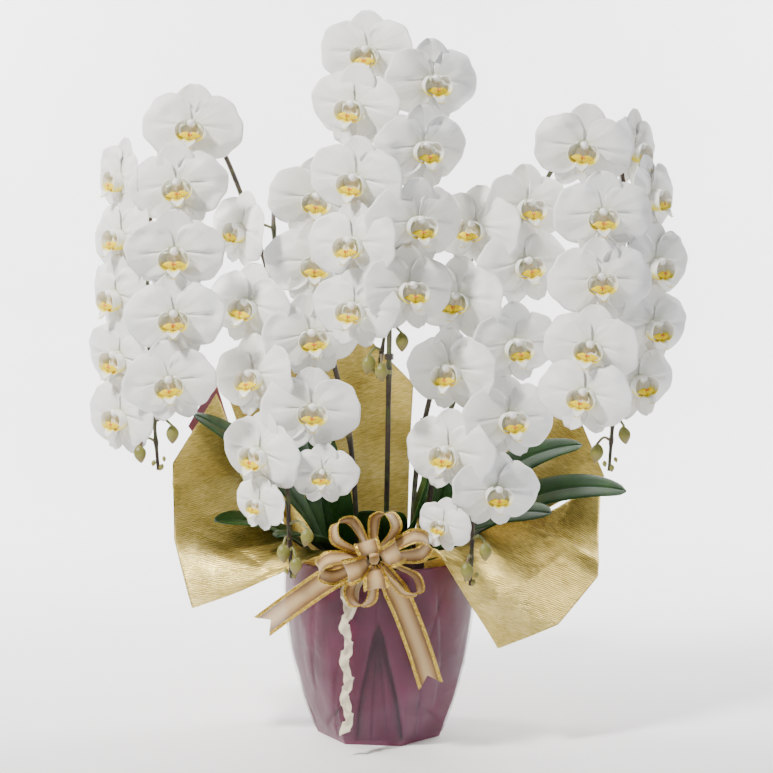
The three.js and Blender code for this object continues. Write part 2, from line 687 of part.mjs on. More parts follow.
// A tail hangs from behind the knot and ends in a V notch.
function makeTail(points) {
  const path = new THREE.CatmullRomCurve3(points, false, 'centripetal');
  const steps = 8;
  const rows = [];
  for (let i = 0; i <= steps; i++) {
    const t = i / steps;
    const across = path.getTangent(t).cross(vec(0, 1, 0)).normalize();
    const half = (ribbonWidth / 2) * Math.min(0.5 + 2 * t, 1);
    rows.push([-1, 0, 1].map(side => path.getPoint(t).addScaledVector(across, side * half)));
  }
  rows[steps][1].addScaledVector(path.getTangent(1), -notchDepth);
  return sheet(rows, ribbonThickness);
}
addPiece('ribbon_tail_left', makeTail([
  vec(knot.x - 8, tailDepth, potHeight + 32), overRim(-50, tailDepth - 2, 18),
  overRim(-92, tailDepth + 8, -12), overRim(-132, tailDepth + 18.5, -44),
]), 0xe6c79c, 0.45);
addPiece('ribbon_tail_right', makeTail([
  vec(knot.x + 8, tailDepth, potHeight + 28), overRim(22, tailDepth - 1, -8),
  overRim(42, tailDepth, -60), overRim(57, tailDepth + 4, -108),
]), 0xe6c79c, 0.45);

// A crinkled strip hangs in short waves below the knot, to both sides of a plumb line.
function makeStreamer() {
  const line = { x: -37, top: 2, drop: 20.5, sway: 2.5, waves: 8 };
  const points = [overRim(-18, streamerDepth, 24)];
  for (let i = 0; i <= line.waves; i++) {
    const way = i % 2 ? 1 : -1;
    points.push(overRim(line.x + way * line.sway, streamerDepth + way + i * 0.5, line.top - i * line.drop));
  }
  const path = new THREE.CatmullRomCurve3(points, false, 'centripetal');
  return ribbon(path, 24, () => vec(1, 0, 0), t => streamerWidth * Math.min(0.4 + 4 * t, 1), ribbonThickness);
}
addPiece('paper_streamer', makeStreamer(), 0xefe3c4, 0.8);

export default model;
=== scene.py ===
import bmesh
import bpy
import math
import random
import numpy as np
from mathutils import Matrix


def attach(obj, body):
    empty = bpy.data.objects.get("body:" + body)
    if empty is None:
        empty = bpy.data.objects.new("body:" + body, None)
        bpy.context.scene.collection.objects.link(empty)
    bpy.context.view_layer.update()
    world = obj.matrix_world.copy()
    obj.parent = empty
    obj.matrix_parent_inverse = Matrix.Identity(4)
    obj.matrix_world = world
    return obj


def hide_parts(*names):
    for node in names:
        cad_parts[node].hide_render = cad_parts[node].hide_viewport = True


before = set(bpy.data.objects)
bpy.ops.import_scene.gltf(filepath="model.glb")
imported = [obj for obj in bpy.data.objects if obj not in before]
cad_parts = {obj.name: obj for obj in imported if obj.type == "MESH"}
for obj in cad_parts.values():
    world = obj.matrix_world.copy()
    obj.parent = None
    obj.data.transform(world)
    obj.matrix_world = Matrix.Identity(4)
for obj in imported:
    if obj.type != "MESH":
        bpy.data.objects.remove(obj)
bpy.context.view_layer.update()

mm = 0.001
rnd = random.Random(11)
noiseRnd = np.random.default_rng(5)


class Nodes:
    # a short hand for one material's nodes
    def __init__(self, name):
        self.mat = bpy.data.materials.new(name)
        self.mat.use_nodes = True
        self.tree = self.mat.node_tree
        self.tree.nodes.clear()
        self.bsdf = self.add("ShaderNodeBsdfPrincipled")
        self.tree.links.new(self.bsdf.outputs[0], self.add("ShaderNodeOutputMaterial").inputs[0])

    def add(self, kind, **settings):
        node = self.tree.nodes.new(kind)
        for key, value in settings.items():
            setattr(node, key, value)
        return node

    def run(self, kind, outlet, values, **settings):
        # adds a node, links or sets its inputs, and gives back one of its outputs
        node = self.add(kind, **settings)
        for key, value in values.items():
            socket = node.inputs[key]
            if hasattr(value, "is_output"):
                self.tree.links.new(value, socket)
            else:
                socket.default_value = (*value, 1) if socket.type == "RGBA" else value
        return node.outputs[outlet]

    def put(self, **values):
        for key, value in values.items():
            self.bsdf.inputs[key.replace("_", " ")].default_value = value

    def coord(self, which="Object", scale=(1, 1, 1)):
        source = self.add("ShaderNodeTexCoord").outputs[which]
        return self.run("ShaderNodeMapping", 0, {"Vector": source, "Scale": scale})

    def across(self, axis):
        # 0 runs across the piece's own surface and 1 along it
        return self.run("ShaderNodeSeparateXYZ", axis, {0: self.coord("UV")})

    def noiseOn(self, vector, scale, detail):
        return self.run("ShaderNodeTexNoise", "Fac", {"Vector": vector, "Scale": scale, "Detail": detail,
                                                      "Roughness": 0.55})

    def noise(self, scale, detail, which="Object", stretch=(1, 1, 1)):
        return self.noiseOn(self.coord(which, stretch), scale, detail)

    def bands(self, axis, vector, values):
        return self.run("ShaderNodeTexWave", "Fac", {"Vector": vector, **values}, wave_type="BANDS",
                        bands_direction=axis)

    def ramp(self, fac, stops):
        node = self.add("ShaderNodeValToRGB")
        elements = node.color_ramp.elements
        while len(elements) < len(stops):
            elements.new(0.5)
        for element, (place, colour) in zip(elements, stops):
            element.position = place
            element.color = (*colour, 1)
        self.tree.links.new(fac, node.inputs["Fac"])
        return node.outputs["Color"]

    def level(self, fac, *stops):
        return self.ramp(fac, [(place, (grey, grey, grey)) for place, grey in stops])

    def mix(self, fac, a, b):
        return self.run("ShaderNodeMix", 2, {0: fac, 6: a, 7: b}, data_type="RGBA")

    def math(self, kind, *values):
        return self.run("ShaderNodeMath", 0, dict(enumerate(values)), operation=kind)

    def times(self, a, b):
        return self.math("MULTIPLY", a, b)

    def plus(self, a, b):
        return self.math("ADD", a, b)

    def colour(self, socket):
        self.tree.links.new(socket, self.bsdf.inputs["Base Color"])

    def rough(self, fac, low, high):
        spread = self.run("ShaderNodeMapRange", 0, {"Value": fac, "To Min": low, "To Max": high})
        self.tree.links.new(spread, self.bsdf.inputs["Roughness"])

    def bump(self, height, distance, strength=1.0):
        lift = self.run("ShaderNodeBump", 0, {"Height": height, "Distance": distance, "Strength": strength})
        self.tree.links.new(lift, self.bsdf.inputs["Normal"])


def speckMaterial(name, grain, stops, bump, rough=None, **values):
    # one field of noise colours the surface and lifts it; grain is its scale, detail and coordinates
    n = Nodes(name)
    speck = n.noise(*grain)
    n.colour(n.ramp(speck, stops))
    if rough:
        n.rough(speck, *rough)
    n.put(**values)
    n.bump(speck, *bump)
    return n.mat


def plainMaterial(name, low, high, scale, rough):
    return speckMaterial(name, (scale, 4.0), [(0.3, low), (0.7, high)], (0.0004, 0.4), rough)


def petalMaterial():
    n = Nodes("petalWhite")
    veins = n.noise(1.0, 2.0, "UV", (46, 2.2, 1))     # fine veins fan from the claw to the edge
    base = n.ramp(n.across(1), [(0.0, (0.62, 0.66, 0.40)), (0.10, (0.84, 0.85, 0.74)), (0.3, (0.89, 0.89, 0.87)),
                                (1.0, (0.91, 0.91, 0.915))])
    tint = n.mix(n.times(veins, 0.25), base, (0.70, 0.71, 0.68))
    n.colour(n.mix(n.level(n.noise(9.0, 1.0), (0.4, 0), (0.6, 0.5)), tint, (0.86, 0.83, 0.74)))
    n.rough(veins, 0.42, 0.6)
    n.put(Subsurface_Weight=0.12, Subsurface_Radius=(0.006, 0.006, 0.005), Subsurface_Scale=0.5,
          Sheen_Weight=0.12, Sheen_Roughness=0.5)
    n.bump(n.plus(n.times(veins, 0.9), n.times(n.noise(900.0, 2.0), 0.12)), 0.0008, 0.7)
    return n.mat


def lipMaterial():
    # yellow at the foot of each lobe with streaks, white at the rim
    n = Nodes("lipYellow")
    streaks = n.noise(1.0, 2.0, "UV", (14, 3, 1))
    reach = n.plus(n.across(1), n.math("MULTIPLY_ADD", streaks, 0.5, -0.25))
    n.colour(n.ramp(reach, [(0.0, (0.84, 0.44, 0.0)), (0.12, (0.88, 0.64, 0.0)), (0.36, (0.92, 0.78, 0.004)),
                            (0.50, (0.92, 0.86, 0.45)), (0.62, (0.93, 0.92, 0.87))]))
    n.put(Roughness=0.36, Subsurface_Weight=0.08, Subsurface_Radius=(0.004, 0.003, 0.002), Subsurface_Scale=0.5)
    n.bump(streaks, 0.0006, 0.7)
    return n.mat


def columnMaterial():
    n = Nodes("columnCream")
    mottle = n.noise(700.0, 2.0)
    base = n.ramp(n.across(1), [(0.0, (0.78, 0.78, 0.55)), (0.45, (0.93, 0.92, 0.86)), (1.0, (0.96, 0.95, 0.93))])
    n.colour(n.mix(n.times(mottle, 0.12), base, (0.90, 0.80, 0.66)))
    n.put(Roughness=0.35, Subsurface_Weight=0.25, Subsurface_Radius=(0.004, 0.003, 0.002))
    n.bump(mottle, 0.0003, 0.4)
    return n.mat


def stemMaterial(name, dark, light, green):
    n = Nodes(name)
    streak = n.noise(260.0, 4.0, "Object", (1, 1, 0.25))
    base = n.ramp(streak, [(0.3, dark), (0.7, light)])
    n.colour(n.mix(n.level(n.noise(60.0, 3.0), (0.45, 0), (0.65, 1)), base, green))
    n.rough(streak, 0.34, 0.55)
    n.bump(streak, 0.0005, 0.5)
    return n.mat


def budMaterial():
    n = Nodes("budGreen")
    base = n.ramp(n.across(1), [(0.0, (0.14, 0.15, 0.022)), (0.5, (0.24, 0.235, 0.045)), (0.9, (0.23, 0.17, 0.05)),
                                (1.0, (0.15, 0.08, 0.03))])
    n.colour(n.mix(n.times(n.noise(240.0, 4.0), 0.45), base, (0.20, 0.16, 0.045)))
    n.put(Roughness=0.42, Subsurface_Weight=0.1, Subsurface_Radius=(0.004, 0.004, 0.001))
    n.bump(n.noise(1.0, 1.0, "UV", (9, 0.6, 1)), 0.0009, 0.6)     # long ribs
    return n.mat


def leafMaterial():
    n = Nodes("leafGreen")
    lines = n.noise(1.0, 2.0, "UV", (60, 1.2, 1))
    cloud = n.noise(26.0, 4.0)
    rib = n.math("ABSOLUTE", n.math("SUBTRACT", n.across(0), 0.5))
    base = n.ramp(cloud, [(0.3, (0.006, 0.028, 0.004)), (0.55, (0.012, 0.050, 0.006)), (0.8, (0.030, 0.088, 0.011))])
    lined = n.mix(n.times(lines, 0.3), base, (0.024, 0.080, 0.014))
    n.colour(n.mix(n.level(rib, (0.0, 1), (0.022, 0)), lined, (0.006, 0.028, 0.007)))
    n.rough(cloud, 0.32, 0.5)
    n.put(Coat_Weight=0.04, Coat_Roughness=0.3, Specular_IOR_Level=0.22)
    n.bump(n.plus(n.times(lines, 0.7), n.times(cloud, 0.5)), 0.0006, 0.6)
    return n.mat


def goldMaterial(name, tilt):
    # crepe: long fine ridges that run one way over the whole sheet; its colour is partly the foil's own tone and
    # partly painted highlight and shade along the ridges
    n = Nodes(name)
    turned = n.run("ShaderNodeMapping", 0, {"Vector": n.add("ShaderNodeTexCoord").outputs["Object"],
                                            "Rotation": (0, math.radians(tilt), 0)})

    def ridges(scale):
        return n.noiseOn(n.run("ShaderNodeMapping", 0, {"Vector": turned, "Scale": scale}), 1.0, 3.0)
    fine = ridges((110, 200, 900))
    crepe = n.bands("Z", turned, {"Scale": 170.0, "Distortion": 7.0, "Detail": 3.0, "Detail Scale": 0.35})
    # painted light: the ramp runs from a shaded brown to a highlit pale gold over the ridge noise, on top of the
    # foil's own tone
    base = n.ramp(n.plus(n.times(fine, 0.5), n.times(ridges((9, 9, 16)), 0.5)),
                  [(0.34, (0.30, 0.20, 0.03)), (0.5, (0.62, 0.46, 0.11)), (0.66, (0.90, 0.74, 0.30))])
    n.colour(n.mix(n.times(n.noise(1600.0, 1.0), 0.2), base, (0.86, 0.66, 0.24)))
    n.put(Metallic=0.88, Specular_IOR_Level=0.5)
    n.rough(fine, 0.28, 0.5)
    relief = n.plus(n.times(fine, 0.3), n.times(ridges((14, 20, 60)), 0.5))
    n.bump(n.plus(relief, n.times(crepe, 0.28)), 0.0012, 0.9)
    return n.mat


def mauveMaterial():
    # matt paper with painted shade in its folds, laid where the wrap's own fold attribute marks crease depth
    n = Nodes("mauvePaper")
    fibre = n.noise(420.0, 4.0, "Object", (1, 1, 2.5))
    cloud = n.noise(14.0, 4.0)
    base = n.ramp(cloud, [(0.3, (0.088, 0.013, 0.037)), (0.55, (0.150, 0.027, 0.068)), (0.8, (0.235, 0.050, 0.115))])
    fold = n.add("ShaderNodeAttribute", attribute_name="fold").outputs["Fac"]
    paper = n.mix(n.times(fibre, 0.22), base, (0.28, 0.10, 0.17))
    # painted shade: the paper darkens to near black along the deeper folds, where shade falls
    n.colour(n.mix(n.level(fold, (0.25, 0), (0.6, 0.5), (0.9, 1)), paper, (0.026, 0.007, 0.016)))
    n.rough(fibre, 0.34, 0.55)
    n.put(Sheen_Weight=0.15, Sheen_Roughness=0.4)
    grain = n.noise(240.0, 3.0, "Object", (0.25, 0.25, 1))
    n.bump(n.plus(n.plus(n.times(fibre, 0.25), n.times(grain, 0.35)), cloud), 0.0007, 0.4)
    return n.mat


def filmMaterial():
    # clear film: takes the paper's colour, greyer where it lies double, with long bright creases
    n = Nodes("clearFilm")
    ripple = n.noise(34.0, 2.0, "Object", (1, 1, 0.35))
    crease = n.noise(9.0, 1.0, "Object", (1, 1, 2.2))
    n.colour(n.ramp(n.noise(7.0, 0.0), [(0.58, (0.075, 0.016, 0.034)), (0.62, (0.12, 0.075, 0.105))]))
    n.put(Roughness=0.12, Alpha=0.15, Specular_IOR_Level=0.3, Coat_Weight=0.6, Coat_Roughness=0.04, Coat_IOR=1.35,
          IOR=1.35)
    off = n.math("ABSOLUTE", n.math("SUBTRACT", crease, 0.5))
    ridge = n.math("POWER", n.math("SUBTRACT", 1.0, n.times(off, 5.0)), 3.0)
    n.bump(n.plus(ripple, n.times(ridge, 0.4)), 0.007, 0.9)
    return n.mat


def organzaMaterial():
    # sheer woven ribbon, pale along its middle and browner towards its gold edges, partly its own golden tone and
    # partly painted shade
    n = Nodes("organzaPeach")
    thread = n.times(*(n.bands(axis, n.coord("UV"), {"Scale": scale}) for axis, scale in (("X", 14.0), ("Y", 50.0))))
    middle = n.math("ABSOLUTE", n.math("SUBTRACT", n.across(0), 0.5))
    # painted shade: the ribbon darkens to deep brown next to its gold bands, on top of its own golden tone
    base = n.ramp(n.math("MULTIPLY_ADD", n.noise(60.0, 3.0), 0.12, middle),
                  [(0.14, (0.72, 0.50, 0.24)), (0.32, (0.46, 0.25, 0.08)), (0.42, (0.20, 0.085, 0.014))])
    n.colour(n.mix(n.times(thread, 0.35), base, (0.84, 0.66, 0.36)))
    n.put(Roughness=0.34, Alpha=0.72, Sheen_Weight=0.5, Sheen_Roughness=0.3, Subsurface_Weight=0.1,
          Subsurface_Radius=(0.004, 0.003, 0.002))
    n.bump(thread, 0.0003, 0.5)
    return n.mat


finish = {
    "petal": petalMaterial(), "lip": lipMaterial(), "column": columnMaterial(),
    "callus": speckMaterial("callusOrange", (1500.0, 1.0), [(0.36, (0.55, 0.06, 0.004)), (0.5, (0.84, 0.24, 0.005)),
                                                            (0.68, (0.86, 0.46, 0.01))], (0.0003, 0.5),
                            Roughness=0.32, Subsurface_Weight=0.15, Subsurface_Radius=(0.003, 0.001, 0.001)),
    "throat": speckMaterial("throatOlive", (800.0, 2.0), [(0.35, (0.74, 0.68, 0.38)), (0.5, (0.90, 0.87, 0.68)),
                                                          (0.7, (0.93, 0.92, 0.86))], (0.0005, 0.6), Roughness=0.5),
    "keel": speckMaterial("keelYellow", (700.0, 2.0), [(0.35, (0.84, 0.52, 0.0)), (0.55, (0.90, 0.70, 0.0)),
                                                       (0.8, (0.92, 0.80, 0.01))], (0.0004, 0.6),
                          Roughness=0.6, Specular_IOR_Level=0.15),
    "spike": stemMaterial("spikeDark", (0.020, 0.012, 0.010), (0.075, 0.045, 0.030), (0.060, 0.070, 0.022)),
    "pedicel": stemMaterial("pedicelGreen", (0.10, 0.11, 0.03), (0.24, 0.26, 0.08), (0.13, 0.07, 0.05)),
    "bud": budMaterial(), "leaf": leafMaterial(), "mauve": mauveMaterial(), "film": filmMaterial(),
    "gold": goldMaterial("goldCrepe", 14), "goldSteep": goldMaterial("goldCrepeSteep", -24),
    "organza": organzaMaterial(),
    "glitter": speckMaterial("goldEdge", (1300.0, 2.0), [(0.38, (0.13, 0.055, 0.002)), (0.5, (0.60, 0.34, 0.016)),
                                                         (0.6, (1.0, 0.84, 0.26))], (0.0006, 0.9), (0.16, 0.42),
                             Metallic=0.9),
    "cream": speckMaterial("creamPaper", (1.0, 3.0, "UV", (26, 2, 1)),
                           [(0.3, (0.62, 0.52, 0.32)), (0.6, (0.83, 0.76, 0.58)), (0.8, (0.92, 0.88, 0.74))],
                           (0.0007, 0.8), Roughness=0.62, Sheen_Weight=0.2),
    "knot": plainMaterial("organzaKnot", (0.50, 0.28, 0.09), (0.76, 0.54, 0.27), 60.0, (0.3, 0.45)),
    "pot": plainMaterial("potGlaze", (0.62, 0.58, 0.50), (0.80, 0.77, 0.70), 40.0, (0.18, 0.3)),
    "stake": plainMaterial("stakeDark", (0.010, 0.008, 0.007), (0.035, 0.028, 0.022), 300.0, (0.3, 0.5)),
    "clip": plainMaterial("clipDark", (0.02, 0.016, 0.012), (0.06, 0.045, 0.03), 300.0, (0.35, 0.5)),
    "moss": plainMaterial("mossDry", (0.10, 0.075, 0.03), (0.36, 0.29, 0.15), 90.0, (0.8, 0.98)),
    "fibre": plainMaterial("mossFibre", (0.20, 0.15, 0.07), (0.50, 0.42, 0.24), 120.0, (0.75, 0.95)),
    "floor": plainMaterial("paleFloor", (0.90, 0.90, 0.90), (0.93, 0.93, 0.93), 3.0, (0.7, 0.8)),
}
print("materials ready:", len(finish))


def ringSurface(verts, sides, cap=True):
    # a closed surface over rings of points: capped at both ends, or joined end to end
    verts = np.asarray(verts, float).reshape(-1, 3)
    rows = len(verts) // sides
    faces = []
    for i in range(rows - 1 if cap else rows):
        here, there = i * sides, (i + 1) % rows * sides
        for k in range(sides):
            m = (k + 1) % sides
            faces.append([here + k, here + m, there + m, there + k])
    if cap:
        faces += [list(range(sides)), [(rows - 1) * sides + k for k in range(sides)]]
    return verts, faces, [[k / sides, i / (rows - 1)] for i in range(rows) for k in range(sides)]


def shell(grid, thickness, taper=None):
    # a thin closed sheet around a grid of points; taper thins it, as an array over the grid
    grid = np.asarray(grid, float)
    rows, cols = grid.shape[:2]
    normal = np.cross(np.gradient(grid, axis=0), np.gradient(grid, axis=1))
    normal /= np.linalg.norm(normal, axis=2, keepdims=True) + 1e-12
    half = thickness / 2 * (np.ones((rows, cols)) if taper is None else taper)
    verts = np.concatenate([(grid + normal * half[..., None]).reshape(-1, 3),
                            (grid - normal * half[..., None]).reshape(-1, 3)])
    count = rows * cols
    u, v = np.meshgrid(np.linspace(0, 1, cols), np.linspace(0, 1, rows))
    uv = np.tile(np.stack([u, v], 2).reshape(-1, 2), (2, 1))
    faces = []
    for i in range(rows - 1):
        for j in range(cols - 1):
            a, b, c, d = i * cols + j, (i + 1) * cols + j, (i + 1) * cols + j + 1, i * cols + j + 1
            faces += [[a, b, c, d], [count + a, count + d, count + c, count + b]]
    rim = [i * cols for i in range(rows)] + [(rows - 1) * cols + j for j in range(1, cols)]
    rim += [i * cols + cols - 1 for i in range(rows - 2, -1, -1)] + list(range(cols - 2, 0, -1))
    for a, b in zip(rim, rim[1:] + rim[:1]):
        faces.append([b, a, count + a, count + b])
    return verts, faces, uv


def tubeRings(points, radii, sides):
    # a closed tube through points, with its own radius at each point
    points = np.asarray(points, float)
    tangent = np.gradient(points, axis=0)
    tangent /= np.linalg.norm(tangent, axis=1, keepdims=True) + 1e-12
    side = np.cross(tangent[0], [0.3, 0.5, 0.8])
    verts = []
    for p, t, r in zip(points, tangent, radii):
        side = side - t * np.dot(side, t)
        side /= np.linalg.norm(side) + 1e-12
        up = np.cross(t, side)
        for k in range(sides):
            a = 2 * math.pi * k / sides
            verts.append(p + r * (math.cos(a) * side + math.sin(a) * up))
    return ringSurface(verts, sides)


def settle(piece, cadNodes):
    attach(piece, "root")
    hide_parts(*cadNodes)
    return piece


def makePiece(name, parts, materials, cadNodes):
    # joins parts into one mesh; a part is vertices in millimetres, faces, uv and perhaps material numbers
    verts, faces, uv, slots = [], [], [], []
    for points, polygons, places, *paint in parts:
        start = sum(len(v) for v in verts)
        verts.append(points)
        uv.append(places)
        faces += [[start + i for i in polygon] for polygon in polygons]
        paint = paint[0] if paint else 0
        slots += paint if isinstance(paint, list) else [paint] * len(polygons)
    mesh = bpy.data.meshes.new(name)
    mesh.from_pydata((np.concatenate(verts) * mm).tolist(), [], faces)
    layer = mesh.uv_layers.new(name="UVMap")
    loops = np.empty(len(mesh.loops), np.int32)
    mesh.loops.foreach_get("vertex_index", loops)
    layer.data.foreach_set("uv", np.concatenate(uv).astype(float)[loops].ravel())
    for key in materials:
        mesh.materials.append(finish[key])
    mesh.polygons.foreach_set("material_index", slots)
    work = bmesh.new()
    work.from_mesh(mesh)
    bmesh.ops.recalc_face_normals(work, faces=work.faces)
    work.to_mesh(mesh)
    work.free()
    mesh.shade_smooth()
    mesh.update()
    piece = bpy.data.objects.new(name, mesh)
    bpy.context.collection.objects.link(piece)
    return settle(piece, cadNodes)


def spline(points, t):
    # smooth curve through points, spaced by the square root of their distances
    points = [np.asarray(p, float) for p in points]
    last = len(points) - 1
    i = min(int(t * last), last - 1)
    w = t * last - i
    p1, p2 = points[i], points[i + 1]
    p0 = points[i - 1] if i > 0 else 2 * p1 - p2
    p3 = points[i + 2] if i + 2 <= last else 2 * p2 - p1
    d0, d1, d2 = (math.sqrt(np.linalg.norm(b - a)) or 1.0 for a, b in ((p0, p1), (p1, p2), (p2, p3)))
    t1 = ((p1 - p0) / d0 - (p2 - p0) / (d0 + d1) + (p2 - p1) / d1) * d1
    t2 = ((p2 - p1) / d1 - (p3 - p1) / (d1 + d2) + (p3 - p2) / d2) * d1
    return (p1 * (2 * w**3 - 3 * w**2 + 1) + p2 * (3 * w**2 - 2 * w**3)
            + t1 * (w**3 - 2 * w**2 + w) + t2 * (w**3 - w**2))


def splineMany(points, count, start=0.0, end=1.0):
    return np.array([spline(points, start + (end - start) * i / (count - 1)) for i in range(count)])


def smoothNoise(rows, cols, coarse, seed):
    # soft random field from -1 to 1 over a grid
    field = np.random.default_rng(seed).uniform(-1, 1, (coarse[0] + 3, coarse[1] + 3))

    def blend(count, cells):
        x = np.linspace(0, cells, count)
        i = np.minimum(x.astype(int), cells - 1)
        f = x - i
        f = f * f * (3 - 2 * f)
        return i, f
    i, fi = blend(rows, coarse[0])
    j, fj = blend(cols, coarse[1])
    a = field[np.ix_(i, j)] * (1 - fj) + field[np.ix_(i, j + 1)] * fj
    b = field[np.ix_(i + 1, j)] * (1 - fj) + field[np.ix_(i + 1, j + 1)] * fj
    return a * (1 - fi[:, None]) + b * fi[:, None]


def tubeTree():
    # a tube along each edge path; the path's own "thickness" attribute gives its radius
    tree = bpy.data.node_groups.new("tubeAlongPath", "GeometryNodeTree")
    face = tree.interface
    face.new_socket("Geometry", in_out="INPUT", socket_type="NodeSocketGeometry")
    for label, kind, value in (("Sides", "NodeSocketInt", 12), ("Radius Scale", "NodeSocketFloat", 1.0)):
        socket = face.new_socket(label, in_out="INPUT", socket_type=kind)
        socket.default_value = value
    face.new_socket("Material", in_out="INPUT", socket_type="NodeSocketMaterial")
    face.new_socket("Geometry", in_out="OUTPUT", socket_type="NodeSocketGeometry")
    nodes, links = tree.nodes, tree.links
    start, end = nodes.new("NodeGroupInput"), nodes.new("NodeGroupOutput")
    toCurve, circle, toMesh, shade, realize, paint = (nodes.new("GeometryNode" + kind) for kind in (
        "MeshToCurve", "CurvePrimitiveCircle", "CurveToMesh", "SetShadeSmooth", "RealizeInstances", "SetMaterial"))
    named = nodes.new("GeometryNodeInputNamedAttribute")
    named.data_type = "FLOAT"
    named.inputs["Name"].default_value = "thickness"
    scale = nodes.new("ShaderNodeMath")
    scale.operation = "MULTIPLY"
    circle.inputs["Radius"].default_value = 1.0
    toMesh.inputs["Fill Caps"].default_value = True
    for outlet, inlet in (
            (start.outputs["Geometry"], toCurve.inputs[0]), (named.outputs["Attribute"], scale.inputs[0]),
            (start.outputs["Radius Scale"], scale.inputs[1]), (scale.outputs[0], toMesh.inputs["Scale"]),
            (start.outputs["Sides"], circle.inputs["Resolution"]), (toCurve.outputs[0], toMesh.inputs["Curve"]),
            (circle.outputs[0], toMesh.inputs["Profile Curve"]), (toMesh.outputs[0], shade.inputs[0]),
            (shade.outputs[0], realize.inputs[0]), (realize.outputs[0], paint.inputs["Geometry"]),
            (start.outputs["Material"], paint.inputs["Material"]), (paint.outputs[0], end.inputs[0])):
        links.new(outlet, inlet)
    return tree


tubes = tubeTree()


def tubePiece(name, paths, sides, look, cadNodes):
    # tubes along paths, each a list of points and radii in millimetres, kept as a plain mesh
    verts, edges, radii = [], [], []
    for points, sizes in paths:
        start = len(verts)
        verts += (np.asarray(points) * mm).tolist()
        radii += (np.asarray(sizes) * mm).tolist()
        edges += [(start + i, start + i + 1) for i in range(len(points) - 1)]
    mesh = bpy.data.meshes.new(name + "Path")
    mesh.from_pydata(verts, edges, [])
    mesh.attributes.new("thickness", "FLOAT", "POINT").data.foreach_set("value", radii)
    carrier = bpy.data.objects.new(name + "Path", mesh)
    bpy.context.collection.objects.link(carrier)
    modifier = carrier.modifiers.new("tree", "NODES")
    modifier.node_group = tubes
    keys = {item.name: item.identifier for item in tubes.interface.items_tree if item.in_out == "INPUT"}
    modifier[keys["Sides"]] = sides
    modifier[keys["Material"]] = finish[look]
    evaluated = carrier.evaluated_get(bpy.context.evaluated_depsgraph_get())
    result = bpy.data.meshes.new_from_object(evaluated)
    carrier.modifiers.clear()
    bpy.data.objects.remove(carrier)
    result.name = name
    piece = bpy.data.objects.new(name, result)
    bpy.context.collection.objects.link(piece)
    return settle(piece, cadNodes)


flower = {
    "petalReach": 54.5, "claw": 3.0, "petalThick": 0.75, "rows": 15, "cols": 37,
    "sepalLength": 46, "sepalWidth": 43, "lateralLength": 47, "lateralWidth": 31, "sepalThick": 0.8,
    "lipDrop": 6, "lipRadius": 11.8, "lipScale": 1.14,     # the lip and column are made a little larger than drawn
}
# half width of one petal in every direction: fuller below the horizontal than above
petalEdge = np.poly1d(np.polyfit([-94, -85, -75, -60, -45, -30, -15, 0, 15, 30, 45, 60, 75, 88],
                                 [15, 22, 32, 42, 48, 52, 54.5, 54.5, 52.5, 49, 44.5, 38, 30, 20], 8))


def field(rows, cols):
    # s runs along a surface from 0 to 1 and t across it from -1 to 1
    return np.linspace(0, 1, rows)[:, None], np.linspace(-1, 1, cols)[None, :]


def petalGrid(side, f, r):
    # a fan of rays from the claw, sunk along its middle line, with the rim falling back
    rows, cols = f["rows"], f["cols"]
    s = np.linspace(0, 1, rows)[:, None] ** 0.8
    angle = np.linspace(-92, 86, cols)[None, :]
    reach = petalEdge(angle) * (1 + 0.04 * r["size"])
    turn = np.radians(angle)
    reach = reach * (1 + 0.022 * np.sin(turn * 7 + r["phase"]) + 0.013 * np.sin(turn * 15))
    radius = f["claw"] + (reach - f["claw"]) * s
    x = radius * np.cos(turn * 0.98) + 1
    z = radius * np.sin(turn * 0.98) + 1.5
    far = s * reach / f["petalReach"]
    ridge = np.abs(np.sin(turn))
    depth = 3.2 * np.sin(np.pi * np.minimum(far * 0.9, 1)) + r["tilt"] * x * 0.12
    depth = depth - r["curl"] * far**2.6 - 0.2 * radius * ridge**1.4
    depth = depth - 3.3 * np.exp(-((angle + 3) / 3.8) ** 2) * np.sin(np.pi * np.minimum(s, 0.97)) ** 0.7
    depth = depth + 2.2 * s * np.exp(-((angle - 34 - 8 * r["tilt"]) / 12) ** 2)
    depth = depth - 1.6 * s * np.exp(-((angle + 40) / 8) ** 2) + 0.3 * s * np.sin(turn * 21 + r["phase"])
    depth = depth + 4.4 * s**1.5 * smoothNoise(rows, cols, (3, 6), r["seed"] + (3 if side > 0 else 0))
    return np.stack([side * x, -depth + 0 * z, z], 2), 1 - 0.55 * s**3 + 0 * angle


def sepalGrid(heading, length, width, back, r, seed):
    rows = cols = 13
    s, t = field(rows, cols)
    half = width / 2 * np.sin(np.pi * (0.05 + 0.91 * s**1.15)) ** 0.62
    half = np.maximum(half, 0.7)
    along = 2 + (length - 2) * s + 0 * t
    across = half * t
    depth = -back - 2.2 * s**2 * r["curl"] * 0.25 + 1.4 * np.abs(t) ** 2 * s - 0.5 * np.exp(-(t / 0.12) ** 2) * s
    depth = depth + 0.9 * s * smoothNoise(rows, cols, (3, 3), seed)
    a = math.radians(heading)
    x = along * math.cos(a) - across * math.sin(a)
    z = along * math.sin(a) + across * math.cos(a)
    return np.stack([x, -depth + 0 * x, z], 2), 1 - 0.5 * s**4 + 0 * t


def lipLobe(side, f):
    # a side lobe curves up from the lip's foot and in over the callus
    s, t = field(13, 9)
    phi = np.radians(-88 + 152 * s) + 0 * t
    radius = f["lipRadius"] * (0.74 + 0.36 * np.sin(np.pi * s * 0.8)) + 1.4 * t * np.sin(np.pi * s)
    wide = 5.2 * (0.5 + 0.65 * np.sin(np.pi * (0.12 + 0.72 * s)))
    x = side * (radius * np.cos(phi) + 0.8) + 0 * t
    z = -f["lipDrop"] + radius * np.sin(phi) * 0.95 + 1.2 * t * t * s
    y = -7.0 - wide * t - 1.2 * s
    return np.stack([x, y + 0 * x, z], 2)


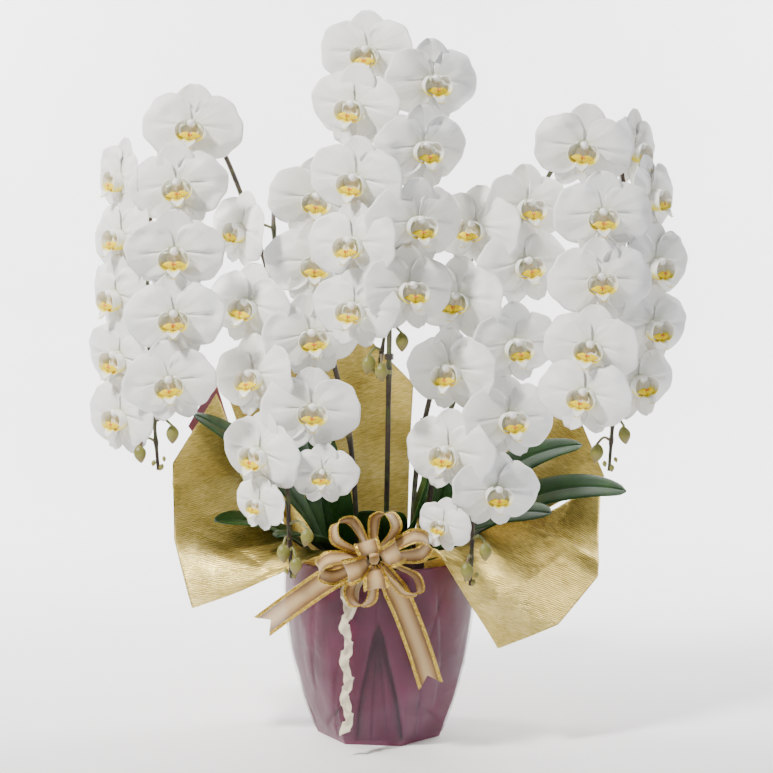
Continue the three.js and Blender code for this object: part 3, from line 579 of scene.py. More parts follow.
def moustache(side, f):
    # a yellow keel that spreads from the callus towards the side lobe
    s, t = field(9, 5)
    x = side * (0.4 + 10.2 * s) + 0 * t
    z = -f["lipDrop"] - 4.6 + 2.6 * s - 2.0 * s * s + (4.2 - 2.2 * s) * t * np.sin(np.pi * (0.2 + 0.75 * s))
    y = -12.6 + 1.6 * s**2 + 0.7 * t * t
    return np.stack([x, y + 0 * x, z], 2)


def throat(f):
    # the hollow behind the lip
    s, t = field(7, 9)
    half = 7.4 * np.sin(np.pi * (0.12 + 0.76 * s)) ** 0.6
    z = -f["lipDrop"] + 5.5 - 12.5 * s + 0 * t
    y = -2.2 - 3.0 * t * t - 1.2 * s
    return np.stack([half * t, y + 0 * z, z], 2)


def midLobe(f):
    # the middle lobe comes forward and down, widest at its shoulders
    s, t = field(13, 9)
    half = np.interp(s, [0, 0.25, 0.5, 0.68, 0.85, 1], [2.6, 3.4, 6.6, 5.4, 2.6, 1.0])
    y = -7 - 11.5 * np.sin(s * 1.35) + 0 * t
    z = -f["lipDrop"] - 8 - 7.5 * s**1.6 + 2.2 * t * t * np.sin(np.pi * np.minimum(s + 0.1, 1))
    return np.stack([half * t + 0 * s, y, z], 2)


def flowerShells(f, r):
    # closed shells of one flower that faces -Y about its own centre, each with its material number
    shells = []
    for side in (-1, 1):
        grid, taper = petalGrid(side, f, r)
        shells.append((*shell(grid, f["petalThick"], taper), 0))
    heads = [(90 + 2 * r["tilt"], f["sepalLength"], f["sepalWidth"], 3.2, 11),
             (-66, f["lateralLength"], f["lateralWidth"], 4.4, 12),
             (-114, f["lateralLength"], f["lateralWidth"], 4.8, 13)]     # heading, length, width, set back, seed
    for heading, length, width, back, seed in heads:
        grid, taper = sepalGrid(heading, length, width, back, r, r["seed"] + seed)
        shells.append((*shell(grid, f["sepalThick"], taper), 0))
    for side in (-1, 1):
        shells.append((*shell(lipLobe(side, f), 0.8), 1))
        shells.append((*shell(moustache(side, f), 0.9), 5))
    shells.append((*shell(midLobe(f), 0.9), 1))
    shells.append((*shell(throat(f), 0.6), 4))
    drop = f["lipDrop"]
    for side in (-1, 1):
        tendril = splineMany([(side * 0.5, -18.0, -drop - 15.2), (side * 2.4, -19.6, -drop - 15.8),
                              (side * 4.6, -18.0, -drop - 13.4), (side * 4.4, -15.6, -drop - 11.4)], 9)
        shells.append((*tubeRings(tendril, np.linspace(0.42, 0.16, 9), 6), 1))
        horn = splineMany([(side * 0.8, -9.0, -drop - 5.0), (side * 1.3, -12.0, -drop - 3.2),
                           (side * 1.8, -14.0, -drop - 3.4)], 8)
        shells.append((*tubeRings(horn, [1.3, 1.7, 1.8, 1.7, 1.5, 1.2, 0.7, 0.2], 10), 2))
    column = splineMany([(0, 1.5, 1.0), (0, -3.5, 2.2), (0, -8.2, 1.8), (0, -11.0, 0.2)], 14)
    swell = [4.0, 3.9, 3.7, 3.5, 3.4, 3.4, 3.5, 3.7, 4.0, 4.1, 3.8, 3.1, 1.9, 0.3]
    shells.append((*tubeRings(column, swell, 16), 3))
    return shells


def makeFlower(name, spray, centre, turn, scale, r):
    # rolled and nodded a little, then turned to the row's facing and set on its pedicel
    roll, nod = math.radians(r["roll"]), math.radians(r["nod"])
    around = np.array([[math.cos(roll), 0, math.sin(roll)], [0, 1, 0], [-math.sin(roll), 0, math.cos(roll)]])
    tip = np.array([[1, 0, 0], [0, math.cos(nod), -math.sin(nod)], [0, math.sin(nod), math.cos(nod)]])
    c, s = math.cos(-turn), math.sin(-turn)
    swing = np.array([[c, -s, 0], [s, c, 0], [0, 0, 1]])
    move = swing @ tip @ around
    parts = []
    for verts, faces, uv, slot in flowerShells(flower, r):
        grown = verts * (flower["lipScale"] if slot else 1)
        parts.append(((grown @ move.T) * scale + centre, faces, uv, slot))
    makePiece(name, parts, ["petal", "lip", "callus", "column", "throat", "keel"], [spray])


stemFoot = 174 + 0.3 + 1.65
spikes = [     # flowers: height, aside of the spike, degrees turned left, size
    {"facing": 36,
     "points": [(-46, 14, stemFoot), (-60, 34, 330), (-132, 52, 540), (-186, 44, 682), (-218, 2, 724),
                (-240, -46, 690), (-254, -72, 600), (-256, -92, 500), (-250, -108, 400), (-244, -116, 326)],
     "flowers": [(646, -42, 58, 0.96), (582, -32, 50, 1), (516, -38, 48, 0.98), (449, -36, 43, 1),
                 (385, -40, 42, 0.95), (703, 43, 3, 1), (639, 44, 2, 1), (566, 49, 1, 1.02), (498, 49, 2, 1),
                 (427, 37, 3, 0.97)],
     "buds": [(-228, -118, 366), (-264, -116, 344)]},
    {"facing": 8,
     "points": [(-26, -12, stemFoot), (-34, 30, 330), (-72, 40, 500), (-98, 30, 600), (-112, -2, 640),
                (-119, -40, 610), (-114, -62, 530), (-109, -86, 430), (-103, -108, 330), (-98, -122, 206)],
     "flowers": [(589, -35, 50, 0.92), (506, -32, 30, 1), (429, -30, 34, 1), (345, -28, 40, 1), (290, -31, 38, 0.66),
                 (623, 47, -12, 0.98), (553, 45, -8, 1), (474, 37, -12, 1), (393, 33, -10, 1), (324, 42, 6, 0.72)],
     "buds": [(-106, -132, 236), (-80, -134, 254), (-92, -142, 224)]},
    {"facing": 0,
     "points": [(6, 10, stemFoot), (10, 36, 400), (12, 42, 600), (12, 38, 730), (12, -4, 788),
                (14, -60, 762), (14, -96, 680), (12, -116, 590), (8, -128, 500), (-2, -132, 430)],
     "flowers": [(785, -27, 18, 0.96), (725, -42, 27, 1), (646, -39, 26, 1), (577, -41, 28, 1), (508, -36, 24, 0.96),
                 (752, 44, -26, 1), (680, 34, -28, 1), (600, 29, -28, 1.02), (529, 22, -30, 1)],
     "buds": [(24, -138, 470), (-12, -144, 446), (2, -148, 438)]},
    {"facing": -2,
     "points": [(34, -8, stemFoot), (46, 30, 330), (90, 42, 500), (120, 32, 592), (132, -4, 636),
                (134, -44, 606), (124, -68, 530), (114, -90, 430), (106, -110, 330), (100, -124, 198)],
     "flowers": [(592, -27, 30, 1), (514, -35, 28, 1), (436, -37, 32, 1), (348, -32, 30, 1), (268, -34, 34, 0.64),
                 (615, 30, -28, 1), (552, 34, -24, 1), (464, 32, -26, 1), (384, 32, -24, 1), (305, 23, -20, 0.92)],
     "buds": [(116, -134, 238), (96, -136, 216)]},
    {"facing": -36,
     "points": [(48, 20, stemFoot), (70, 42, 330), (150, 58, 540), (204, 46, 660), (238, 2, 698),
                (262, -52, 674), (274, -80, 600), (272, -102, 500), (258, -116, 400), (252, -122, 326)],
     "flowers": [(680, -52, 2, 1.02), (608, -46, 0, 1), (538, -51, -2, 1), (467, -56, 20, 0.96), (416, -55, 25, 0.96),
                 (678, 22, -57, 0.96), (626, 30, -58, 1), (552, 29, -45, 1), (485, 31, -40, 1), (425, 21, -32, 0.96)],
     "buds": [(268, -126, 366), (238, -124, 346)]},
]
sprayShape = {"standOff": 11, "stemRadius": 3.2, "tipRadius": 1.9, "pedicel": 1.5, "bud": 21, "stakeGap": 6.5,
              "stakeShare": 0.31, "stakeRadius": 2}


def hangingShare(points, height):
    # share of the spike at which its hanging part passes a height
    samples = splineMany(points, 401)
    top = int(np.argmax(samples[:, 2]))
    height = min(height, samples[top, 2] - 14)
    below = np.nonzero(samples[top:, 2] <= height)[0]
    return (top + (below[0] if len(below) else 400 - top)) / 400


def budShell(centre, lean, length, seed):
    # an egg with soft ribs and a small beak
    steps, sides = 13, 14
    verts = []
    for i in range(steps):
        t = i / (steps - 1)
        r = length * 0.36 * math.sin(math.pi * min(0.02 + 0.96 * t, 1)) ** 0.75 * (1.08 - 0.3 * t)
        for k in range(sides):
            a = 2 * math.pi * k / sides
            w = r * (1 + 0.05 * math.cos(3 * a + seed))
            verts.append([w * math.cos(a), w * math.sin(a), length * (0.5 - t)])
    tilt = np.array([[math.cos(lean), 0, math.sin(lean)], [0, 1, 0], [-math.sin(lean), 0, math.cos(lean)]])
    return ringSurface(np.array(verts) @ tilt.T + centre, sides)


def makeSpray(index, spike):
    k = sprayShape
    node = f"flower_spray_{index}"
    facing = math.radians(spike["facing"])
    forward = np.array([-math.sin(facing), -math.cos(facing), 0])
    sideways = np.array([math.cos(facing), -math.sin(facing), 0])
    pedicels, nodesAt = [], []
    for number, (height, aside, turned, scale) in enumerate(spike["flowers"], 1):
        share = hangingShare(spike["points"], height)
        foot = spline(spike["points"], share)
        nodesAt.append(share)
        centre = foot + sideways * aside + forward * k["standOff"]
        centre[2] = height
        turn = math.radians(turned)
        r = {"size": rnd.uniform(-1, 1), "phase": rnd.uniform(0, 6), "tilt": rnd.uniform(-0.5, 0.8),
             "curl": rnd.uniform(2.0, 5.5) + (2 if scale < 0.8 else 0), "seed": rnd.randrange(9000),
             "roll": rnd.uniform(-9, 9), "nod": rnd.uniform(-6, 7)}
        makeFlower(f"flower_{index}_{number:02d}", node, centre, turn, scale, r)
        behind = centre + np.array([math.sin(turn), math.cos(turn), 0]) * 1.5 * scale
        middle = (foot + behind) / 2 + np.array([0, 0, 5]) + forward * -4
        pedicels.append(splineMany([foot, middle, behind], 12))
    budParts = []
    for j, bud in enumerate(spike["buds"]):
        share = hangingShare(spike["points"], max(bud[2] + 14, spike["points"][-1][2] + 4))
        foot = spline(spike["points"], share)
        nodesAt.append(share)
        bud = np.array(bud, float)
        top = bud + np.array([0, 0, k["bud"] * 0.46])
        pedicels.append(splineMany([foot, (foot + top) / 2 + np.array([0, 0, 6]), top], 10))
        budParts.append(budShell(bud, math.radians(rnd.uniform(-14, 14)), k["bud"] * rnd.uniform(0.88, 1.05), j))
    for j in range(3):
        tip = spline(spike["points"], 1.0) + np.array([(-1) ** j * (3 + 2 * j), -2 * j, 3 + 5 * j])
        budParts.append(budShell(tip, rnd.uniform(-0.5, 0.5), 8.5 - j, j))
    for share in (0.12, 0.22, 0.33, 0.47):
        # dry bracts clasp the stem at its joints
        base = spline(spike["points"], share)
        rise = spline(spike["points"], share + 0.02) - base
        rise /= np.linalg.norm(rise)
        bract = [base - rise * 3, base + rise * 2, base + rise * 7, base + rise * 11 + sideways * 2.5]
        swell = [3.5, 3.9, 4.1, 4.1, 3.9, 3.5, 2.9, 2.1, 1.2, 0.2]
        budParts.append((*tubeRings(splineMany(bract, 10), swell, 12), 1))
    makePiece(f"buds_{index}", budParts, ["bud", "pedicel"], [node])

    count = 150
    stem = splineMany(spike["points"], count)
    sizes = np.linspace(k["stemRadius"], k["tipRadius"], count) + 0.12 * noiseRnd.uniform(-1, 1, count)
    for share in nodesAt + [0.12, 0.22, 0.33]:
        sizes += 1.0 * np.exp(-((np.linspace(0, 1, count) - share) / 0.006) ** 2)
    tubePiece(f"spike_{index}", [(stem, sizes)], 14, "spike", [node])
    paths = [(p, np.linspace(k["pedicel"] * 1.05, k["pedicel"] * 0.9, len(p))) for p in pedicels]
    tubePiece(f"pedicels_{index}", paths, 10, "pedicel", [node])
    stake = splineMany(spike["points"], 60, 0, k["stakeShare"]) + np.array([0, k["stakeGap"], 0])
    tubePiece(f"stake_wire_{index}", [(stake, [k["stakeRadius"]] * 60)], 12, "stake", [f"stake_{index}"])


for i, spike in enumerate(spikes):
    makeSpray(i + 1, spike)
print("flower sprays ready")


leafShape = {"thick": 2.2, "stack": 10, "rows": 46, "cols": 21, "foot": 174.3 + 2.2}
leaves = [     # plant, heading, lift, droop, length, width, how far out its foot is, roll
    (0, 206, 54, 62, 176, 50, 11, -14), (0, 183, 68, 46, 252, 50, 11, -20), (0, 120, 76, 26, 160, 46, 26, 0),
    (1, 228, 58, 66, 150, 56, 11, 0), (1, 228, 80, 18, 212, 40, 13, 0), (2, 266, 74, 66, 142, 58, 11, 0),
    (2, 311, 72, 16, 204, 60, 29, 48), (3, 280, 56, 66, 94, 52, 11, 0), (3, 332, 50, 56, 196, 56, 11, 20),
    (3, 16, 74, 34, 206, 50, 34, 38), (4, 354, 52, 66, 266, 60, 11, 22), (4, 4, 66, 66, 244, 56, 11, 22),
    (4, 66, 76, 26, 156, 46, 26, 0),
]


def leafTaper(t):
    swell = 0.3 + 0.7 * math.sin(min(t / 0.58, 1) * math.pi / 2)
    tip = math.sqrt(max(1 - ((t - 0.58) / 0.42) ** 2.4, 0)) if t > 0.58 else 1
    return max(swell * tip, 0.05)


def rotated(v, axis, angle):
    return (v * math.cos(angle) + np.cross(axis, v) * math.sin(angle)
            + axis * np.dot(axis, v) * (1 - math.cos(angle)))


def makeLeaf(number, plant, toward, lift, droop, length, width, crown, roll, nth):
    k = leafShape
    a = math.radians(toward)
    out = np.array([math.cos(a), math.sin(a), 0])
    side = np.array([-out[1], out[0], 0])
    up = np.array([0, 0, 1.0])
    point = np.array([*spikes[plant]["points"][0][:2], k["foot"] + nth * k["stack"]]) + out * crown
    rows, cols = k["rows"], k["cols"]
    grid = np.zeros((rows, cols, 3))
    taper = np.zeros((rows, cols))
    wave = smoothNoise(rows, cols, (7, 2), 40 + number)
    for i in range(rows):
        t = i / (rows - 1)
        slope = math.radians(lift - droop * t**1.4)
        along = out * math.cos(slope) + up * math.sin(slope)
        turn = math.radians(roll * min(2.5 * t, 1))
        above = rotated(-out * math.sin(slope) + up * math.cos(slope), along, turn)
        across = rotated(side, along, turn)
        half = width / 2 * leafTaper(t)
        channel = 0.34 * half * (1 - 0.7 * t)
        for j in range(cols):
            u = 2 * j / (cols - 1) - 1
            rise = channel * (abs(u) ** 1.25) - 0.08 * half * abs(u) ** 4 - 0.9 * math.exp(-(u / 0.07) ** 2)
            grid[i, j] = point + across * u * half + above * (rise + 0.9 * wave[i, j] * abs(u))
            taper[i, j] = (1 - 0.6 * abs(u) ** 3) * (1 - 0.5 * t**6)
        point = point + along * length / (rows - 1)
    blade = shell(grid, k["thick"], taper)
    makePiece(f"leaf_blade_{number:02d}", [blade], ["leaf"], [f"leaf_{number:02d}"])


seen = {}
for i, row in enumerate(leaves):
    nth = seen.get(row[0], 0)
    seen[row[0]] = nth + 1
    makeLeaf(i + 1, *row, nth)
print("leaves ready")


wrap = {"height": 212, "foot": 74, "top": 112, "sides": 7, "thick": 0.8, "around": 432, "up": 84,
        "foldShadeDepth": 4.6, "film": 0.35, "filmGap": 0.9, "filmHeight": 221}


def lathe(profile, sides, bump=None):
    # closed surface of revolution; the profile starts and ends on the axis
    verts = [[0, 0, profile[0][1]]]
    for r, z in profile[1:-1]:
        for j in range(sides):
            a = 2 * math.pi * j / sides
            lift = bump(r, a) if bump and z > 60 else 0
            verts.append([r * math.cos(a), r * math.sin(a), z + lift])
    verts.append([0, 0, profile[-1][1]])
    faces = [[0, 1 + j, 1 + (j + 1) % sides] for j in range(sides)]
    rings = len(profile) - 2
    for i in range(rings - 1):
        for j in range(sides):
            a, b = 1 + i * sides + j, 1 + i * sides + (j + 1) % sides
            faces.append([a, b, b + sides, a + sides])
    last = len(verts) - 1
    faces += [[last, last - sides + j, last - sides + (j + 1) % sides] for j in range(sides)]
    uv = [[0, 0]] * len(verts)
    return np.array(verts), faces, uv


potWall = [(0, 1.1), (59, 1.1), (62, 2.6), (81, 95), (97.5, 178), (99.6, 184), (100, 188), (98.8, 190),
           (96.2, 190), (95, 188), (94.4, 183), (57.5, 8.5), (55, 6.2), (0, 6.1)]     # radius and height
makePiece("inner_pot", [lathe(potWall, 96)], ["pot"], ["pot"])
moss = {"top": 174, "edge": 88, "strands": 320, "reach": 9, "rise": (2, 6), "radius": (0.4, 0.9)}


def mossLumps(r, a):
    return 2.2 * math.sin(r * 0.21 + 3 * math.sin(a * 3)) * math.cos(a * 7 + r * 0.13) - 3 if r < moss["edge"] else -3


mossBed = [(0, 6.5), (56.3, 6.5), (92.6, 172), (86, 174)] + [(r, moss["top"]) for r in range(80, 4, -6)] + [(0, 171)]
makePiece("moss_bed", [lathe(mossBed, 72, mossLumps)], ["moss"], ["moss"])
strands = []
for i in range(moss["strands"]):
    a, r = rnd.uniform(0, 2 * math.pi), moss["edge"] * math.sqrt(rnd.random())
    start = np.array([r * math.cos(a), r * math.sin(a), moss["top"] - 0.5])
    run = np.array([rnd.uniform(-moss["reach"], moss["reach"]), rnd.uniform(-moss["reach"], moss["reach"]), 0])
    rise = np.array([0, 0, rnd.uniform(*moss["rise"])])
    end = start + 2 * run
    if math.hypot(end[0], end[1]) < moss["edge"] + 2:
        strand = splineMany([start, start + run + rise, end + rise * 0.3], 7)
        strands.append((strand, [rnd.uniform(*moss["radius"])] * 7))
tubePiece("moss_strands", strands, 6, "fibre", ["moss"])


def wrapRadius(z, angle):
    # the paper bellies out above a foot with seven flat sides
    k = wrap
    h = np.clip(z / k["height"], 0, 1)
    belly = k["foot"] + (k["top"] - k["foot"]) * (1 - (1 - h) ** 2.6)
    sector = 2 * math.pi / k["sides"]
    local = (angle + 0.35) % sector - sector / 2
    flat = math.cos(sector / 2) / np.cos(local)
    return belly * (1 - (1 - flat) * (1 - h) ** 1.6) - 0.8


def creases(z, angle):
    # each fold steps in across its line and eases back on one side of it
    total = 0 * z
    for at, foot, top, lean, depth, wide in wrapFolds:
        off = (angle - np.radians(at + lean * (z - foot)) + math.pi) % (2 * math.pi) - math.pi
        off = off * 95 * np.sign(wide)
        along = np.clip((z - foot) / 10, 0, 1) * np.clip((top - z) / 26, 0, 1)
        total = total + depth * along * np.where(off > 0, np.exp(-off / abs(wide)), np.exp(off / 1.6))
    return total


wrapFolds = [     # degrees, foot height, top height, lean in degrees per mm, depth, width and side it eases on
    (247, 1, 158, 0.147, 4.0, 9), (291, 1, 158, -0.147, 5.2, -8), (268, 146, 204, 0.02, 1.5, 9),
    (262, 1, 120, 0.05, 1.6, 5), (277, 1, 128, -0.06, 1.8, -5), (213, 16, 66, 0.85, 3.0, 9),
    (338, 18, 64, -1.15, 3.2, -9),
    (228, 1, 120, 0.14, 2.2, 7), (308, 1, 130, -0.12, 2.4, -7), (320, 40, 195, -0.10, 2.0, 10),
    (215, 60, 190, 0.12, 1.6, 9), (296, 90, 190, 0.16, 1.6, -8), (345, 1, 150, 0.08, 2.2, 6),
    (190, 1, 160, -0.08, 2.2, 6), (160, 1, 150, 0.05, 2.0, 7), (120, 1, 170, 0.05, 2.0, 7),
    (80, 1, 160, -0.06, 2.0, 7), (40, 1, 150, 0.07, 2.0, 7), (15, 30, 200, -0.04, 1.8, 8),
]


def ringGrid(heights, outset, dents):
    angle = np.linspace(0, 2 * math.pi, wrap["around"], endpoint=False)[None, :]
    z = np.asarray(heights, float)[:, None]
    r = wrapRadius(z, angle) + outset + dents(z, angle)
    return np.stack([r * np.cos(angle), r * np.sin(angle), z + 0 * angle], 2)


softDent = smoothNoise(61, 97, (9, 14), 77)


def paperDents(z, angle):
    i = np.clip(z / wrap["height"] * 60, 0, 60).astype(int)
    j = (np.abs(angle) / (2 * math.pi) * 96).astype(int) % 97
    blend = np.clip(z / 20, 0, 1)
    return (-creases(z, angle) + 0.9 * softDent[i, j] - 0.9) * blend


heights = np.concatenate([[0, 0.6, 2], np.linspace(5, wrap["height"], wrap["up"])])
outer = ringGrid(heights, 0, paperDents)
inner = ringGrid(np.clip(heights[::-1][:-3], 1.2, None), -wrap["thick"], paperDents)
wrapSurface = ringSurface([*outer, *inner], wrap["around"])
wrapPiece = makePiece("paper_wrap", [wrapSurface], ["mauve"], ["mauve_wrap"])
# crease depth, stored as the fold attribute, sets where the paper's painted shade darkens its folds, full at the
# deepest folds
points = wrapSurface[0]
depths = creases(points[:, 2], np.arctan2(points[:, 1], points[:, 0]))
fold = wrapPiece.data.attributes.new("fold", "FLOAT", "POINT")
fold.data.foreach_set("value", np.clip(depths / wrap["foldShadeDepth"], 0, 1))


def filmDents(z, angle):
    # the film stands a little off the paper in long soft folds and a few sharp ones
    wave = np.sin(angle * 11 + z * 0.02) * 0.5 + np.sin(angle * 23 - z * 0.035) * 0.25
    for at, height, swing, wide in filmFolds:
        line = height + swing * np.sin((angle - math.radians(at)) * 3)
        off = (angle - math.radians(at) + math.pi) % (2 * math.pi) - math.pi
        wave = wave + 1.3 * np.exp(-np.abs(z - line) / wide) * np.exp(-(off / 0.3) ** 2)
    return (wave + 0.2) * np.clip(z / 60, 0.1, 1) - 0.75 * creases(z, angle)


# degrees, height, swing and width of each long fold
filmFolds = [(226, 128, -26, 3.0), (236, 104, -20, 2.4), (216, 150, -18, 2.4), (304, 150, 22, 3.0),
             (318, 118, 20, 2.6), (262, 168, 12, 2.4), (284, 92, 26, 2.4), (340, 90, -20, 3.0),
             (160, 120, 20, 3.0), (60, 130, -24, 3.0)]
filmHeights = np.linspace(5, wrap["filmHeight"], wrap["up"])
filmOuter = ringGrid(filmHeights, wrap["filmGap"] + wrap["film"], filmDents)
filmInner = ringGrid(filmHeights[::-1], wrap["filmGap"], filmDents)
film = ringSurface([*filmOuter, *filmInner], wrap["around"], False)
makePiece("film_sleeve", [film], ["film"], ["clear_film"])
print("pot and wrapping ready")


def collar(angle, z, out=0):
    r = 105 + out
    return (r * math.cos(math.radians(angle)), r * math.sin(math.radians(angle)), z)


def beyond(angle, out, height):
    return collar(angle, 190 + height, out)


def fromCollar(angle, middle, end):
    # up inside the rim at an angle, then through a middle and an end point
    return [collar(angle, 194), collar(angle, 229, 3), beyond(*middle), beyond(*end)]


papers = {
    "gold_flap_left": [
        fromCollar(176, (167.2, 48.8, 100), (168.2, 91.1, 202)),
        fromCollar(192, (177.9, 60.1, 68), (177.1, 136.3, 124)),
        fromCollar(208, (-168, 58.6, 36), (-172.8, 132.9, 42)),
        fromCollar(226, (-145.5, 50.3, 22), (-161.7, 118.3, -30)),
        fromCollar(243, (-122, 16, 40), (-133, 34, 22)),
    ],
    "gold_sheet_back": [
        fromCollar(172, (160.6, 51.9, 110), (161.6, 91.1, 215)),
        fromCollar(146, (141.8, 50.2, 140), (142.9, 70.6, 288)),
        fromCollar(120, (120.5, 36.7, 150), (121.7, 54.8, 310)), fromCollar(96, (95.2, 27.5, 140), (98.7, 40.7, 265)),
        fromCollar(72, (74.1, 26, 120), (73.8, 38.7, 202)),
    ],
    "gold_sheet_right": [
        fromCollar(66, (60.2, 35.7, 110), (49.8, 65.3, 182)), fromCollar(46, (40.9, 53.8, 90), (31.6, 108.7, 176)),
        fromCollar(30, (26.6, 69.4, 72), (19.7, 149.9, 162)), fromCollar(16, (17.2, 70.9, 50), (13.5, 168.6, 100)),
    ],
    "gold_flap_right": [
        fromCollar(12, (15, 73, 50), (12.6, 163, 95)), fromCollar(-8, (-4.6, 69.6, 26), (-4.6, 145.8, -6)),
        fromCollar(-26, (-21.4, 64.7, 10), (-20.8, 109, -48)), fromCollar(-44, (-41.4, 52.3, 14), (-40.8, 69.4, -66)),
        fromCollar(-62, (-61, 10, 46), (-58, 17, 42)),
    ],
    "mauve_backing": [[beyond(154.1, 46.2, 72), beyond(156.2, 78.6, 130), beyond(157.8, 106.7, 214)],
                       [beyond(162.3, 52.5, 60), beyond(165.3, 91.5, 110), beyond(167, 126.9, 162)]],
}
paperShape = {"rows": 110, "cols": 90, "thick": 0.5, "crinkle": 0.5, "fold": 3.6}
paperFolds = {     # a point of the fold line and its run, both as x and z, then depth and width
    "gold_flap_left": [((-200, 296), (1, 0.10), 5.5, 7), ((-190, 232), (1, -0.35), 2.2, 5),
                       ((-215, 345), (1, 0.5), 2.0, 6)],
    "gold_flap_right": [((150, 244), (1, -0.45), 6.5, 7), ((190, 236), (1, -0.25), 3.0, 5),
                        ((160, 190), (1, 0.3), 2.0, 7)],
    "gold_sheet_back": [((-120, 400), (0.3, 1), 3.0, 8), ((-30, 380), (-0.2, 1), 2.6, 8)],
    "gold_sheet_right": [((150, 320), (1, 0.5), 3.6, 6), ((200, 300), (1, 0.15), 2.0, 6)],
}


def smoothGrid(curves, rows, cols):
    columns = [splineMany(points, cols) for points in curves]
    rounded = np.stack([splineMany([column[j] for column in columns], rows) for j in range(cols)], 1)
    place = np.linspace(0, len(columns) - 1, rows)
    ends = np.array([column[-1] for column in columns])
    straight = np.stack([np.interp(place, range(len(columns)), ends[:, axis]) for axis in range(3)], 1)
    outward = np.clip(np.linspace(0, 1, cols) * 2.5 - 1.5, 0, 1)[None, :, None] ** 2
    return rounded + (straight - rounded[:, -1])[:, None] * outward     # the free edge runs straight to its corners


def gridSize(grid):
    across = np.linalg.norm(np.diff(grid, axis=0), axis=2).sum(axis=0).mean()
    along = np.linalg.norm(np.diff(grid, axis=1), axis=2).sum(axis=1).mean()
    return across, along


for number, (node, curves) in enumerate(papers.items()):
    k = paperShape
    grid = smoothGrid(curves, k["rows"], k["cols"])
    flat = gridSize(grid)
    normal = np.cross(np.gradient(grid, axis=0), np.gradient(grid, axis=1))
    normal /= np.linalg.norm(normal, axis=2, keepdims=True) + 1e-9
    free = np.clip((np.linspace(0, 1, k["cols"]) - 0.28) / 0.4, 0, 1)[None, :, None]
    gold = node.startswith("gold")
    look, slotName = ("goldSteep" if "right" in node else "gold", "gold_crepe") if gold else ("mauve", "mauve_paper")
    if gold:
        fold = smoothNoise(k["rows"], k["cols"], (4, 3), 200 + number)[..., None]
        ridge = smoothNoise(k["rows"], k["cols"], (16, 16), 300 + number)[..., None]
        crease = np.zeros(grid.shape[:2])
        for place, run, depth, wide in paperFolds[node]:
            across = ((grid[..., 0] - place[0]) * run[1] - (grid[..., 2] - place[1]) * run[0]) / math.hypot(*run)
            crease += depth * np.where(across > 0, np.exp(-across / (2.4 * wide)), np.exp(across / wide))
        grid = grid + normal * free * (k["fold"] * fold + k["crinkle"] * ridge + crease[..., None])
    piece = makePiece(node + "_paper", [shell(grid, k["thick"])], [look], [node])
print("papers ready")


bow = {"width": 27, "knot": (-6, -136, 232), "knotRadius": 6, "thick": 0.35, "wire": 0.7, "edge": 3.1}
ringLoops = [(138, 47, 27, 34), (72, 42, 26, -32), (16, 54, 25, 30), (322, 54, 21, -26), (250, 48, 26, 30),
             (194, 54, 24, -30)]     # heading, reach, bulge, roll
# heading, tilt towards the front, reach and bulge
faceLoops = [(28, 46, 28, 17), (110, 50, 22, 13), (198, 46, 30, 16), (276, 48, 26, 17)]


def bandColumns(cols):
    # places across a ribbon from -1 to 1, with its gold bands as the first and last columns
    inside = 1 - 2 * bow["edge"] / bow["width"]
    return [-1, *np.linspace(-inside, inside, cols - 2), 1]


def ribbonGrid(path, wide, widthAt, cols, seed, ripple=0.6, cup=0.08):
    # a ribbon along a path, lightly cupped and rippled across
    rows = len(path)
    tangent = np.gradient(path, axis=0)
    tangent /= np.linalg.norm(tangent, axis=1, keepdims=True)
    grid = np.zeros((rows, cols, 3))
    wave = smoothNoise(rows, cols, (9, 2), seed)
    for i in range(rows):
        across = wide if isinstance(wide, np.ndarray) else wide(i, tangent[i])
        across = across / np.linalg.norm(across)
        face = np.cross(tangent[i], across)
        w = widthAt(i / (rows - 1))
        for j, u in enumerate(bandColumns(cols)):
            grid[i, j] = path[i] + across * u * w / 2 + face * (cup * w * (u * u - 0.4) + ripple * wave[i, j])
    return grid


def makeRibbon(name, grid, cadNode):
    # organza with a glittering gold band along both edges
    verts, faces, uv = shell(grid, bow["thick"])
    rows, cols = grid.shape[:2]
    bands = [int(j in (0, cols - 2)) for i in range(rows - 1) for j in range(cols - 1) for face in (0, 1)]
    bands += [1] * (len(faces) - len(bands))
    piece = makePiece(name, [(verts, faces, uv, bands)], ["organza", "glitter"], [cadNode])
    edges = [(grid[:, j], [bow["wire"]] * len(grid)) for j in (0, -1)]
    wire = tubePiece(name + "_wire", edges, 8, "glitter", [cadNode])


def loopPath(start, out, wide, reach, bulge):
    lift = np.cross(out, wide)
    lift /= np.linalg.norm(lift)

    def at(far, aside):
        return start + out * far * reach + lift * aside * bulge
    return splineMany([at(0, 0.07), at(0.42, 0.4), at(0.78, 0.5), at(1, 0), at(0.78, -0.5), at(0.42, -0.4),
                       at(0, -0.07)], 60)


def loopWidth(t):
    return bow["width"] * (0.38 + 0.62 * math.sin(math.pi * t) ** 0.7)


